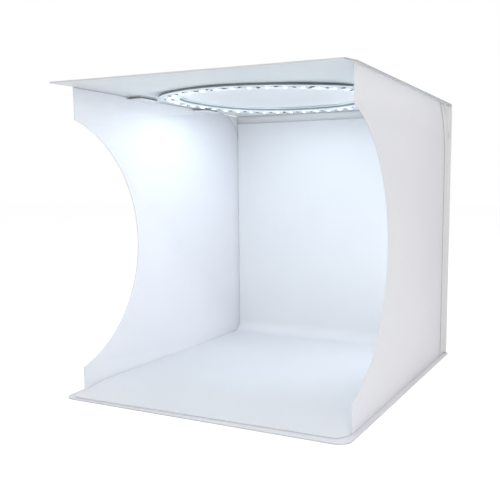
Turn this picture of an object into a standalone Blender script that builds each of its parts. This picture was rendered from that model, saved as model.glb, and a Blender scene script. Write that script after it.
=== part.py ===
"""Light tent cube: a folding tabletop photo tent of thin white plastic panels with a ring of lamps under its roof.

Metres, +Z up. The open side faces -Y. The origin is on the table, under the middle of the base board.
"""

import math

import bmesh
import bpy
from mathutils import Matrix, Vector

# Panels
PANEL = 0.0010  # thickness of the plastic sheet that every panel is cut from
INSIDE_WIDTH = 0.2290  # between the side walls
WALL_DEPTH = 0.2500
WALL_HEIGHT = 0.2400
SEAT_GAP = 0.0003  # between pieces that lie on each other
BASE_LIP = 0.0195  # base board in front of the walls
ROOF_LIP = 0.0226
BASE_SIDE_MARGIN = 0.0040  # base board outside the walls
ROOF_SIDE_MARGIN = 0.0015
BACK_SIDE_MARGIN = 0.0030
REAR_MARGIN = 0.0040  # base and roof behind the back panel
BASE_CORNER = 0.0095
REAR_CORNER = 0.0020
WALL_REAR_CORNER = 0.0340  # round top corner

# Round cut in the front edge of each side wall
CUT_DEPTH = 0.0730
CUT_FOOT = 0.0197  # straight edge left below the cut
CUT_HEAD = 0.0247  # and above it

# The roof sags between the walls' flaps, most along the line over the walls' front edges
ROOF_SAG = 0.0038
SAG_FULLNESS = 4  # how flat the sag's middle is across the tent
SAG_REAR_FULLNESS = 6  # how soon it reaches its depth in front of the back panel
LIP_DROOP = 0.0004  # the roof's front corner, at the left
LIP_DROOP_RIGHT = 0.0019
LIP_ROWS = 3
SAG_ROWS = 24
SAG_COLUMNS = 20

# Cloth hinge strips
TAPE = 0.0003
TAPE_WIDTH = 0.0120
TAPE_CORNER = 0.0010
TAPE_END = 0.0050  # panel edge that the strip leaves bare at each end
TAPE_FOLD = 0.0005  # strip's free edge to the fold line
TAPE_TAPER = 0.0500  # height over which a side wall's strip widens to its upper end
TAPE_UNDER_HEAD = 0.0008  # that end to the wall's head

# Hook and loop pads on flaps of the side walls
PAD = 0.0008
PAD_LENGTH = 0.0250
PAD_WIDTH = 0.0130
PAD_CORNER = 0.0015
PAD_INSET = 0.0010
FLAP_LENGTH = 0.0260
FLAP_WIDTH = 0.0150
FLAP_FROM_END = 0.0755  # middle of a flap to the wall's end

# Ring of lamps under the roof
RING_FROM_WALL_FRONT = 0.1120
RING_OUTER = 0.0950
RING_INNER = 0.0780
RING_BOARD = 0.0010
SPACER = 0.0005
SPACER_OUTER = 0.0925
SPACER_INNER = 0.0800
LAMP_CIRCLE = 0.0869
LAMP_COUNT = 42
LAMP_LONG = 0.0035
LAMP_WIDE = 0.0028
LAMP_HIGH = 0.0006
LAMP_TRACK = 0.0002
LAMP_TRACK_WIDTH = 0.0016
FIRST_LAMP_TURN = math.radians(3.0)

# Round window in the roof and its cover
WINDOW_RADIUS = 0.0760
COVER_SIDE = 0.1640
COVER_CORNER = 0.0300
COVER_STRIP_LENGTH = 0.0960
PULL_LENGTH = 0.0110
PULL_WIDTH = 0.0240
PULL_CORNER = 0.0050

# Backdrop sheet
SHEET = 0.0005
SHEET_SIDE_CLEARANCE = 0.0004
SHEET_FRONT_LEFT = 0.0025  # sheet's front edge behind the base's, at the left
SHEET_FRONT_RIGHT = 0.0075
SHEET_FRONT_CORNER = 0.0080
SHEET_RAMP = 0.0480  # from the front edge to where it lies on the flaps
SHEET_SWEEP = 0.0120
SHEET_TOP_GAP = 0.0090  # under the roof
STRIP_HEIGHT = 0.0160
STRIP_LENGTH = 0.1600
STRIP_TOP_GAP = 0.0030
STRIP_CORNER = 0.0015

# Power inlet on the roof
INLET_LENGTH = 0.0180
INLET_WIDTH = 0.0160
INLET_HEIGHT = 0.0072
INLET_WALL = 0.0012
INLET_ROUND = 0.00075
INLET_FROM_SIDE = 0.0215  # middle of the housing to the wall's inner face
INLET_FROM_REAR = 0.0220  # middle of the housing to the back panel
SOCKET_WIDTH = 0.0080
SOCKET_HEIGHT = 0.0032
SOCKET_DEPTH = 0.0060
SOCKET_WALL = 0.0004
SOCKET_STANDS_OUT = 0.0005
LEAD_RADIUS = 0.0007
LEAD_SLOT = 0.0046
LEAD_START_TURN = math.radians(52.0)
LEAD_BEND = 0.0016
LEAD_SLOT_FROM_SOCKET = 0.0035

CUT_OVERRUN = 0.0050
WELD = 0.000005
ARC_STEPS = 48
CORNER_STEPS = 5
RING_STEPS = 84
LEAD_STEPS = 5
LEAD_RUN_STEPS = 6

# Places that follow from the sizes above
HINGE_STAND = 2 * (SEAT_GAP + TAPE) + SEAT_GAP  # room for both leaves when a panel opens fully
BOARD_DEPTH = BASE_LIP + WALL_DEPTH + HINGE_STAND + PANEL + REAR_MARGIN
BASE_FRONT = -BOARD_DEPTH / 2
BASE_REAR = BASE_FRONT + BOARD_DEPTH
WALL_FRONT = BASE_FRONT + BASE_LIP
WALL_REAR = WALL_FRONT + WALL_DEPTH
BACK_FRONT = WALL_REAR + HINGE_STAND
BACK_REAR = BACK_FRONT + PANEL
WALL_INSIDE = INSIDE_WIDTH / 2
WALL_OUTSIDE = WALL_INSIDE + PANEL
BASE_SIDE = WALL_OUTSIDE + BASE_SIDE_MARGIN
ROOF_SIDE = WALL_OUTSIDE + ROOF_SIDE_MARGIN
BACK_SIDE = WALL_OUTSIDE + BACK_SIDE_MARGIN
BASE_TOP = PANEL
WALL_FOOT = BASE_TOP + SEAT_GAP
ROOF_UNDER = WALL_FOOT + WALL_HEIGHT + SEAT_GAP
ROOF_TOP = ROOF_UNDER + PANEL
BACK_FOOT = BASE_TOP + HINGE_STAND
BACK_HEAD = ROOF_UNDER - HINGE_STAND
ROOF_FRONT = WALL_FRONT - ROOF_LIP
ROOF_REAR = BACK_REAR + REAR_MARGIN
RING_MIDDLE = WALL_FRONT + RING_FROM_WALL_FRONT
SPACER_TOP = ROOF_UNDER - SEAT_GAP
BOARD_TOP = SPACER_TOP - SPACER - SEAT_GAP
TRACK_TOP = BOARD_TOP - RING_BOARD - SEAT_GAP
PAD_STACK = 2 * PAD + 3 * SEAT_GAP
LOW_FLAP_UNDER = BASE_TOP + PAD_STACK
HIGH_FLAP_TOP = ROOF_UNDER - PAD_STACK
CUT_HALF = (WALL_HEIGHT - CUT_FOOT - CUT_HEAD) / 2
CUT_RADIUS = (CUT_HALF**2 + CUT_DEPTH**2) / (2 * CUT_DEPTH)
COVER_UNDER = ROOF_TOP + SEAT_GAP
COVER_TOP = COVER_UNDER + PANEL
COVER_REAR = RING_MIDDLE + COVER_SIDE / 2
SAG_SIDE = WALL_INSIDE - FLAP_WIDTH
SHEET_SIDE = WALL_INSIDE - SHEET_SIDE_CLEARANCE
SHEET_REAR = BACK_FRONT - PAD_STACK
SHEET_FLOOR = LOW_FLAP_UNDER + PANEL + SEAT_GAP
SHEET_TOP = ROOF_UNDER - SHEET_TOP_GAP

UPRIGHT_ACROSS = (math.pi / 2, 0, 0)  # a plate standing across the tent, like the back panel
UPRIGHT_ALONG = (math.pi / 2, 0, math.pi / 2)  # a plate standing along it, like a side wall


def clear_scene():
    for old in list(bpy.data.objects):
        bpy.data.objects.remove(old, do_unlink=True)


def new_collection(name):
    collection = bpy.data.collections.new(name)
    bpy.context.scene.collection.children.link(collection)
    return collection


clear_scene()
PARTS = new_collection("light_tent_cube")
CUTTERS = new_collection("cutters")


def make_material(name, colour, roughness, metallic=0.0):
    material = bpy.data.materials.new(name)
    material.use_nodes = True
    shader = material.node_tree.nodes["Principled BSDF"]
    shader.inputs["Base Color"].default_value = (*colour, 1.0)
    shader.inputs["Roughness"].default_value = roughness
    shader.inputs["Metallic"].default_value = metallic
    return material


WHITE_SHEET = ((0.86, 0.88, 0.92), 0.45)
COVER_SHEET = ((0.80, 0.84, 0.90), 0.45)
GREY_CLOTH = ((0.62, 0.62, 0.65), 0.85)
BLACK_HOOK = ((0.05, 0.05, 0.05), 0.90)
WHITE_LOOP = ((0.78, 0.78, 0.78), 0.95)
BACKDROP_SHEET = ((0.90, 0.91, 0.94), 0.55)
DARK_FOAM = ((0.09, 0.10, 0.12), 0.90)
WHITE_BOARD = ((0.85, 0.88, 0.90), 0.35)
LAMP_WHITE = ((0.95, 0.97, 1.00), 0.30)
INLET_PLASTIC = ((0.80, 0.80, 0.82), 0.50)
PLATED_STEEL = ((0.70, 0.70, 0.72), 0.30, 1.0)
LEAD_JACKET = ((0.85, 0.85, 0.86), 0.60)


def add_axis(name, place, parent=None):
    """An empty on a joint's axis, which carries the pieces that turn or slide there."""
    axis = bpy.data.objects.new(name, None)
    axis.location = place
    PARTS.objects.link(axis)
    if parent is not None:
        hang(axis, parent)
    return axis


def world_place(axis):
    """An unturned empty's place in the world."""
    place = axis.matrix_parent_inverse @ axis.location
    return world_place(axis.parent) + place if axis.parent else Vector(place)


def hang(piece, axis):
    """Parents a piece that is already in place, so that it stays there."""
    piece.parent = axis
    piece.matrix_parent_inverse = Matrix.Translation(world_place(axis)).inverted()


def finish(piece, look, axis=None):
    piece.data.materials.append(make_material(piece.name, *look))
    if axis is not None:
        hang(piece, axis)
    return piece


def arc(centre, radius, start, end, steps):
    """Points round a circle, both ends included."""
    turns = (start + (end - start) * step / steps for step in range(steps + 1))
    return [(centre[0] + radius * math.cos(turn), centre[1] + radius * math.sin(turn)) for turn in turns]


def circle(centre, radius):
    return arc(centre, radius, 0, 2 * math.pi, RING_STEPS)[:-1]


def rounded_box(low, high, radii):
    """A rectangle whose corners, from the lower left and anticlockwise, have these radii."""
    corners = ((low[0], low[1]), (high[0], low[1]), (high[0], high[1]), (low[0], high[1]))
    points = []
    for number, (corner, radius) in enumerate(zip(corners, radii)):
        inward = (1 if number in (0, 3) else -1, 1 if number in (0, 1) else -1)
        centre = (corner[0] + radius * inward[0], corner[1] + radius * inward[1])
        start = math.pi * (1 + number / 2)
        points += arc(centre, radius, start, start + math.pi / 2, CORNER_STEPS)
    return points


def plate(name, loops, thickness, place, turn, look, axis=None):
    """A flat plate: the first loop is its outline and the others are holes. Place is its middle plane's."""
    curve = bpy.data.curves.new(name, "CURVE")
    curve.dimensions = "2D"
    curve.fill_mode = "BOTH"
    curve.extrude = thickness / 2
    for loop in loops:
        spline = curve.splines.new("POLY")
        spline.points.add(len(loop) - 1)
        for point, (x, y) in zip(spline.points, loop):
            point.co = (x, y, 0, 1)
        spline.use_cyclic_u = True
    piece = bpy.data.objects.new(name, curve)
    piece.location = place
    piece.rotation_euler = turn
    PARTS.objects.link(piece)
    return finish(piece, look, axis)


def as_mesh(piece):
    """Swaps a plate's curve for a welded mesh, so that it can be cut and joined."""
    bpy.context.view_layer.update()
    evaluated = piece.evaluated_get(bpy.context.evaluated_depsgraph_get())
    mesh = bpy.data.meshes.new_from_object(evaluated)
    shape = bmesh.new()
    shape.from_mesh(mesh)
    bmesh.ops.remove_doubles(shape, verts=shape.verts, dist=WELD)
    shape.to_mesh(mesh)
    shape.free()
    swapped = bpy.data.objects.new(piece.name, mesh)
    name, parent, inverse = piece.name, piece.parent, piece.matrix_parent_inverse.copy()
    swapped.location = piece.location
    swapped.rotation_euler = piece.rotation_euler
    bpy.data.objects.remove(piece, do_unlink=True)
    swapped.name = name
    PARTS.objects.link(swapped)
    if parent is not None:
        swapped.parent = parent
        swapped.matrix_parent_inverse = inverse
    return swapped


def mesh_from(name, shape):
    mesh = bpy.data.meshes.new(name)
    shape.to_mesh(mesh)
    shape.free()
    return mesh


def boxes_mesh(name, boxes):
    """One mesh of boxes, each given as (low corner, high corner, turn about Z round the ring's middle)."""
    shape = bmesh.new()
    for low, high, turn in boxes:
        low, high = Vector(low), Vector(high)
        size = Matrix.Diagonal((*(high - low), 1))
        place = Matrix.Translation((low + high) / 2)
        middle = Matrix.Translation((0, RING_MIDDLE, 0)) if turn else Matrix()
        bmesh.ops.create_cube(shape, size=1, matrix=middle @ Matrix.Rotation(turn, 4, "Z") @ place @ size)
    return mesh_from(name, shape)


def cutter(name, mesh):
    tool = bpy.data.objects.new(name, mesh)
    tool.hide_render = True
    tool.display_type = "WIRE"
    CUTTERS.objects.link(tool)
    return tool


def combine(piece, tool, operation):
    modifier = piece.modifiers.new(operation.lower(), "BOOLEAN")
    modifier.operation = operation
    modifier.solver = "EXACT"
    modifier.object = tool


def base_board():
    outline = rounded_box(
        (-BASE_SIDE, BASE_FRONT), (BASE_SIDE, BASE_REAR), (BASE_CORNER, BASE_CORNER, REAR_CORNER, REAR_CORNER)
    )
    plate("base_board", [outline], PANEL, (0, 0, PANEL / 2), (0, 0, 0), WHITE_SHEET)


def back_panel(axis):
    outline = rounded_box((-BACK_SIDE, BACK_FOOT), (BACK_SIDE, BACK_HEAD), (REAR_CORNER,) * 4)
    place = (0, BACK_FRONT + PANEL / 2, 0)
    plate("back_panel", [outline], PANEL, place, UPRIGHT_ACROSS, WHITE_SHEET, axis)


def wall_outline():
    """A side wall seen from its side: Y along, Z up, with the round cut in its front edge."""
    centre = (WALL_FRONT + CUT_DEPTH - CUT_RADIUS, WALL_FOOT + CUT_FOOT + CUT_HALF)
    half_turn = math.atan2(CUT_HALF, CUT_RADIUS - CUT_DEPTH)
    head = WALL_FOOT + WALL_HEIGHT
    rear_middle = (WALL_REAR - WALL_REAR_CORNER, head - WALL_REAR_CORNER)
    return [
        (WALL_FRONT, WALL_FOOT),
        (WALL_REAR, WALL_FOOT),
        *arc(rear_middle, WALL_REAR_CORNER, 0, math.pi / 2, 2 * CORNER_STEPS),
        (WALL_FRONT, head),
        *arc(centre, CUT_RADIUS, half_turn, -half_turn, ARC_STEPS),
    ]


def flap_middles():
    return (WALL_FRONT + FLAP_FROM_END, WALL_REAR - FLAP_FROM_END)


def side_wall(name, side, axis):
    """A wall and its flaps, folded inwards at its foot and head. Side is -1 on the left and 1 on the right."""
    middle_plane = side * (WALL_INSIDE + PANEL / 2)
    wall = as_mesh(plate(name, [wall_outline()], PANEL, (middle_plane, 0, 0), UPRIGHT_ALONG, WHITE_SHEET, axis))
    inner = side * (WALL_INSIDE - FLAP_WIDTH)
    flaps = [
        (
            (min(inner, middle_plane), middle - FLAP_LENGTH / 2, under),
            (max(inner, middle_plane), middle + FLAP_LENGTH / 2, under + PANEL),
            0,
        )
        for middle in flap_middles()
        for under in (LOW_FLAP_UNDER, HIGH_FLAP_TOP - PANEL)
    ]
    combine(wall, cutter(name + "_flaps", boxes_mesh(name + "_flaps", flaps)), "UNION")


def pads(name, side, wall_axis, roof_axis):
    """Hook pads on the wall's flaps and the loop pads that they press on, on the base and under the roof."""
    outline = rounded_box(
        (-PAD_WIDTH / 2, -PAD_LENGTH / 2), (PAD_WIDTH / 2, PAD_LENGTH / 2), (PAD_CORNER,) * 4
    )
    x = side * (WALL_INSIDE - PAD_INSET - PAD_WIDTH / 2)
    heights = {
        "low_hook": (LOW_FLAP_UNDER - SEAT_GAP - PAD / 2, BLACK_HOOK, wall_axis),
        "low_loop": (BASE_TOP + SEAT_GAP + PAD / 2, WHITE_LOOP, None),
        "high_hook": (HIGH_FLAP_TOP + SEAT_GAP + PAD / 2, BLACK_HOOK, wall_axis),
        "high_loop": (ROOF_UNDER - SEAT_GAP - PAD / 2, WHITE_LOOP, roof_axis),
    }
    for end, middle in zip(("front", "rear"), flap_middles()):
        for kind, (height, look, axis) in heights.items():
            plate(f"{name}_{end}_{kind}_pad", [outline], PAD, (x, middle, height), (0, 0, 0), look, axis)


def wall_leaf_outline(foot, head):
    """A wall's leaf, which widens upwards and fills the wall's round top corner, as (Y, Z) points."""
    inner_edge = WALL_REAR - TAPE_WIDTH
    outer_edge = WALL_REAR - TAPE_FOLD
    spread = WALL_REAR_CORNER - TAPE_WIDTH
    inner_radius = (spread**2 + TAPE_TAPER**2) / (2 * spread)
    inner_turn = math.atan2(TAPE_TAPER, inner_radius - spread)
    inner_middle = (inner_edge - inner_radius, head - TAPE_TAPER)
    outer_middle = (outer_edge - TAPE_CORNER, head - TAPE_CORNER)
    return [
        (inner_edge, foot),
        (outer_edge, foot),
        *arc(outer_middle, TAPE_CORNER, 0, math.pi / 2, CORNER_STEPS),
        *arc(inner_middle, inner_radius, inner_turn, 0, 2 * CORNER_STEPS),
    ]


def wall_hinge_strip(name, side, wall_axis, back_axis):
    """The two leaves of a side wall's hinge strip: on the wall's outside and on the back panel's margin."""
    foot, head = WALL_FOOT + TAPE_END, BACK_HEAD - SEAT_GAP
    corners = (TAPE_CORNER,) * 4
    x = side * (WALL_OUTSIDE + SEAT_GAP + TAPE / 2)
    on_wall = wall_leaf_outline(foot, WALL_FOOT + WALL_HEIGHT - TAPE_UNDER_HEAD)
    plate(name + "_wall_leaf", [on_wall], TAPE, (x, 0, 0), UPRIGHT_ALONG, GREY_CLOTH, wall_axis)
    near, far = WALL_OUTSIDE + TAPE_FOLD, BACK_SIDE - SEAT_GAP
    on_back = rounded_box((min(side * near, side * far), foot), (max(side * near, side * far), head), corners)
    y = BACK_FRONT - SEAT_GAP - TAPE / 2
    plate(name + "_back_leaf", [on_back], TAPE, (0, y, 0), UPRIGHT_ACROSS, GREY_CLOTH, back_axis)


def cross_hinge_strip(name, neighbour, level, fold, upward, back_axis, neighbour_axis):
    """The two leaves of the strip at the back panel's foot or head: on its rear face and on its neighbour's margin.

    Level is the face of the neighbour's margin, fold the edge of the back panel, and upward which way the panel
    lies from the fold: 1 or -1.
    """
    half_length = BACK_SIDE - TAPE_END
    near, far = fold + upward * TAPE_FOLD, fold + upward * TAPE_WIDTH
    corners = (TAPE_CORNER,) * 4
    on_back = rounded_box((-half_length, min(near, far)), (half_length, max(near, far)), corners)
    y = BACK_REAR + SEAT_GAP + TAPE / 2
    plate(name + "_back_leaf", [on_back], TAPE, (0, y, 0), UPRIGHT_ACROSS, GREY_CLOTH, back_axis)
    on_neighbour = rounded_box(
        (-half_length, BACK_REAR + TAPE_FOLD), (half_length, BACK_REAR + REAR_MARGIN - SEAT_GAP), corners
    )
    z = level + upward * (SEAT_GAP + TAPE / 2)
    plate(f"{name}_{neighbour}_leaf", [on_neighbour], TAPE, (0, 0, z), (0, 0, 0), GREY_CLOTH, neighbour_axis)


def roof_sag(x, y):
    """How far the roof, and what lies on or under it, hangs below the walls' heads at a point."""
    across = ROOF_SAG * (1 - min(1, abs(x) / SAG_SIDE) ** SAG_FULLNESS)
    if y < WALL_FRONT:
        forward = (WALL_FRONT - y) / ROOF_LIP
        to_left = (ROOF_SIDE - x) / (2 * ROOF_SIDE)
        front_edge = LIP_DROOP_RIGHT + (LIP_DROOP - LIP_DROOP_RIGHT) * to_left
        return across + (front_edge - across) * forward
    from_front = min(1, (y - WALL_FRONT) / (BACK_FRONT - WALL_FRONT))
    return across * (1 - from_front**SAG_REAR_FULLNESS)


def within(places, low, high):
    return [low] + [place for place in places if low + WELD < place < high - WELD] + [high]


def sagging_net(name, low, high, under):
    """The underside of a sheet that follows the roof, as a net of triangles. Under is its height over the walls."""
    across = [SAG_SIDE * (2 * column / SAG_COLUMNS - 1) for column in range(SAG_COLUMNS + 1)]
    lip = [ROOF_FRONT + ROOF_LIP * row / LIP_ROWS for row in range(LIP_ROWS)]
    behind = [WALL_FRONT + (BACK_FRONT - WALL_FRONT) * row / SAG_ROWS for row in range(SAG_ROWS + 1)]
    columns = within(across, low[0], high[0])
    rows = within(lip + behind, low[1], high[1])
    shape = bmesh.new()
    bmesh.ops.create_grid(shape, x_segments=len(columns) - 1, y_segments=len(rows) - 1, size=1)
    for vertex in shape.verts:
        x = columns[round((vertex.co.x + 1) / 2 * (len(columns) - 1))]
        y = rows[round((vertex.co.y + 1) / 2 * (len(rows) - 1))]
        vertex.co = (x, y, under - roof_sag(x, y))
    bmesh.ops.triangulate(shape, faces=shape.faces)
    return mesh_from(name, shape)


def sagging_sheet(name, low, high, under, thickness, look, axis):
    piece = bpy.data.objects.new(name, sagging_net(name, low, high, under))
    PARTS.objects.link(piece)
    finish(piece, look, axis)
    wall = piece.modifiers.new("sheet", "SOLIDIFY")
    wall.thickness = thickness
    wall.offset = 1
    return piece


def outline_prism(name, outline):
    """An upright solid over an outline, which cuts a sagging sheet to shape."""
    shape = bmesh.new()
    foot = shape.faces.new([shape.verts.new((x, y, ROOF_UNDER - CUT_OVERRUN)) for x, y in outline])
    raised = bmesh.ops.extrude_face_region(shape, geom=[foot])["geom"]
    for part in raised:
        if isinstance(part, bmesh.types.BMVert):
            part.co.z = COVER_TOP + CUT_OVERRUN
    bmesh.ops.recalc_face_normals(shape, faces=shape.faces)
    return mesh_from(name, shape)


def cut_sheet(name, outline, under, thickness, look, axis):
    """A sheet with this outline that follows the roof."""
    low = (min(x for x, y in outline) - CUT_OVERRUN, min(y for x, y in outline) - CUT_OVERRUN)
    high = (max(x for x, y in outline) + CUT_OVERRUN, max(y for x, y in outline) + CUT_OVERRUN)
    piece = sagging_sheet(name, low, high, under, thickness, look, axis)
    combine(piece, cutter(name + "_outline", outline_prism(name + "_outline", outline)), "INTERSECT")


def window_mesh():
    shape = bmesh.new()
    bmesh.ops.create_cone(
        shape,
        cap_ends=True,
        segments=RING_STEPS,
        radius1=WINDOW_RADIUS,
        radius2=WINDOW_RADIUS,
        depth=2 * (PANEL + CUT_OVERRUN),
        matrix=Matrix.Translation((0, RING_MIDDLE, ROOF_UNDER)),
    )
    return mesh_from("window_cut", shape)


def roof_panel(axis):
    low, high = (-ROOF_SIDE, ROOF_FRONT), (ROOF_SIDE, ROOF_REAR)
    piece = sagging_sheet("roof_panel", low, high, ROOF_UNDER, PANEL, WHITE_SHEET, axis)
    combine(piece, cutter("window_cut", window_mesh()), "DIFFERENCE")
    low, high = lead_slot()
    combine(piece, cutter("slot_cut", boxes_mesh("slot_cut", [(low, high, 0)])), "DIFFERENCE")


def inlet_middle():
    return (WALL_INSIDE - INLET_FROM_SIDE, BACK_FRONT - INLET_FROM_REAR)


def lead_rise():
    """Where the lead goes up through the roof, under the housing."""
    x, y = inlet_middle()
    return (x, y + INLET_LENGTH / 2 - SOCKET_DEPTH - LEAD_SLOT_FROM_SOCKET)


def lead_slot():
    x, y = lead_rise()
    half = LEAD_SLOT / 2
    return (x - half, y - half, ROOF_UNDER - CUT_OVERRUN), (x + half, y + half, ROOF_TOP + CUT_OVERRUN)


def let_sag(shape):
    """Lowers a flat shape under the roof by the roof's sag."""
    bmesh.ops.triangulate(shape, faces=shape.faces)
    for vertex in shape.verts:
        vertex.co.z -= roof_sag(vertex.co.x, vertex.co.y)


def band(name, outer, inner, top, thickness, look, axis):
    """A ring under the roof, round the ring's middle, that follows the sag."""
    shape = bmesh.new()
    levels = (top, top, top - thickness, top - thickness)
    rims = [
        [shape.verts.new((x, y, level)) for x, y in circle((0, RING_MIDDLE), radius)]
        for radius, level in zip((outer, inner, inner, outer), levels)
    ]
    for rim, next_rim in zip(rims, rims[1:] + rims[:1]):
        for a, b, c, d in zip(rim, rim[1:] + rim[:1], next_rim[1:] + next_rim[:1], next_rim):
            shape.faces.new((a, b, c, d))
    bmesh.ops.recalc_face_normals(shape, faces=shape.faces)
    let_sag(shape)
    piece = bpy.data.objects.new(name, mesh_from(name, shape))
    PARTS.objects.link(piece)
    return finish(piece, look, axis)


def ring_of_lamps(axis):
    band("ring_spacer", SPACER_OUTER, SPACER_INNER, SPACER_TOP, SPACER, DARK_FOAM, axis)
    band("ring_board", RING_OUTER, RING_INNER, BOARD_TOP, RING_BOARD, WHITE_BOARD, axis)
    outer, inner = LAMP_CIRCLE + LAMP_TRACK_WIDTH / 2, LAMP_CIRCLE - LAMP_TRACK_WIDTH / 2
    row = band("lamp_row", outer, inner, TRACK_TOP, LAMP_TRACK, LAMP_WHITE, axis)
    lamp = (
        (LAMP_CIRCLE - LAMP_LONG / 2, -LAMP_WIDE / 2, TRACK_TOP - LAMP_TRACK - LAMP_HIGH),
        (LAMP_CIRCLE + LAMP_LONG / 2, LAMP_WIDE / 2, TRACK_TOP - LAMP_TRACK / 2),
    )
    turns = (FIRST_LAMP_TURN + 2 * math.pi * number / LAMP_COUNT for number in range(LAMP_COUNT))
    lamps = boxes_mesh("lamps", [(*lamp, turn) for turn in turns])
    shape = bmesh.new()
    shape.from_mesh(lamps)
    let_sag(shape)
    shape.to_mesh(lamps)
    shape.free()
    combine(row, cutter("lamps", lamps), "UNION")


def cover_outline():
    """A square with round corners and a pull tab in the middle of its front edge."""
    half = COVER_SIDE / 2
    front = RING_MIDDLE - half
    body = rounded_box((-half, front), (half, COVER_REAR), (COVER_CORNER,) * 4)
    tab_side = PULL_WIDTH / 2
    tab_turn = front - PULL_LENGTH + PULL_CORNER
    tab = [(-tab_side, front)]
    tab += arc((PULL_CORNER - tab_side, tab_turn), PULL_CORNER, math.pi, 1.5 * math.pi, CORNER_STEPS)
    tab += arc((tab_side - PULL_CORNER, tab_turn), PULL_CORNER, 1.5 * math.pi, 2 * math.pi, CORNER_STEPS)
    tab += [(tab_side, front)]
    first_corner = CORNER_STEPS + 1
    return body[:first_corner] + tab + body[first_corner:]


def window_cover(roof_axis, cover_axis):
    cut_sheet("window_cover", cover_outline(), COVER_UNDER, PANEL, COVER_SHEET, cover_axis)
    corners = (TAPE_CORNER,) * 4
    half_strip = COVER_STRIP_LENGTH / 2
    on_cover = rounded_box((-half_strip, COVER_REAR - TAPE_WIDTH), (half_strip, COVER_REAR - TAPE_FOLD), corners)
    on_roof = rounded_box((-half_strip, COVER_REAR + TAPE_FOLD), (half_strip, COVER_REAR + TAPE_WIDTH), corners)
    leaves = {
        "cover": (on_cover, COVER_TOP + SEAT_GAP, cover_axis),
        "roof": (on_roof, ROOF_TOP + SEAT_GAP, roof_axis),
    }
    for side, (outline, under, axis) in leaves.items():
        cut_sheet(f"cover_hinge_strip_{side}_leaf", outline, under, TAPE, GREY_CLOTH, axis)


def sheet_profile():
    """The sheet's front or upper face, as (Y, Z) points from the base's front edge to the sheet's top."""
    low = BASE_TOP + SEAT_GAP + SHEET
    high = SHEET_FLOOR + SHEET
    ramp = [
        (SHEET_RAMP * step / CORNER_STEPS, low + (high - low) * (1 - math.cos(math.pi * step / CORNER_STEPS)) / 2)
        for step in range(CORNER_STEPS + 1)
    ]
    front = SHEET_REAR - SHEET
    centre = (front - SHEET_SWEEP, high + SHEET_SWEEP)
    sweep = arc(centre, SHEET_SWEEP, -math.pi / 2, 0, 2 * CORNER_STEPS)
    return [(BASE_FRONT + y, z) for y, z in ramp] + sweep + [(front, SHEET_TOP)]


def sheet_front(x):
    """How far behind the base's front edge the sheet ends, with rounded corners."""
    share = (x + SHEET_SIDE) / (2 * SHEET_SIDE)
    edge = SHEET_FRONT_LEFT + (SHEET_FRONT_RIGHT - SHEET_FRONT_LEFT) * share
    into_corner = min(max(0, abs(x) - (SHEET_SIDE - SHEET_FRONT_CORNER)), SHEET_FRONT_CORNER)
    return edge + SHEET_FRONT_CORNER - math.sqrt(SHEET_FRONT_CORNER**2 - into_corner**2)


def sheet_columns():
    """The widths at which the sheet has points: close together round its front corners."""
    corner = [
        SHEET_SIDE - SHEET_FRONT_CORNER * (1 - math.sin(math.pi / 2 * step / CORNER_STEPS))
        for step in range(CORNER_STEPS + 1)
    ]
    return [-x for x in reversed(corner)] + corner


def backdrop_sheet(axis):
    shape = bmesh.new()
    profile = sheet_profile()
    columns = []
    for x in sheet_columns():
        front = BASE_FRONT + sheet_front(x)
        ramp_end = BASE_FRONT + SHEET_RAMP
        squeeze = (ramp_end - front) / SHEET_RAMP
        points = [(ramp_end - (ramp_end - y) * squeeze if y < ramp_end else y, z) for y, z in profile]
        columns.append([shape.verts.new((x, y, z)) for y, z in points])
    for left, right in zip(columns, columns[1:]):
        for a, b, c, d in zip(left, right, right[1:], left[1:]):
            shape.faces.new((a, b, c, d))
    piece = bpy.data.objects.new("backdrop_sheet", mesh_from("backdrop_sheet", shape))
    PARTS.objects.link(piece)
    finish(piece, BACKDROP_SHEET, axis)
    thickness = piece.modifiers.new("sheet", "SOLIDIFY")
    thickness.thickness = SHEET
    thickness.offset = -1


def backdrop_strips(back_axis, sheet_axis):
    """The hook strip on the back panel and the loop strip behind the sheet's top edge."""
    top = SHEET_TOP - STRIP_TOP_GAP
    corners = (STRIP_CORNER,) * 4
    outline = rounded_box((-STRIP_LENGTH / 2, top - STRIP_HEIGHT), (STRIP_LENGTH / 2, top), corners)
    hook = (0, BACK_FRONT - SEAT_GAP - PAD / 2, 0)
    loop = (0, SHEET_REAR + SEAT_GAP + PAD / 2, 0)
    plate("backdrop_hook_strip", [outline], PAD, hook, UPRIGHT_ACROSS, WHITE_LOOP, back_axis)
    plate("backdrop_loop_strip", [outline], PAD, loop, UPRIGHT_ACROSS, WHITE_LOOP, sheet_axis)


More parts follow.
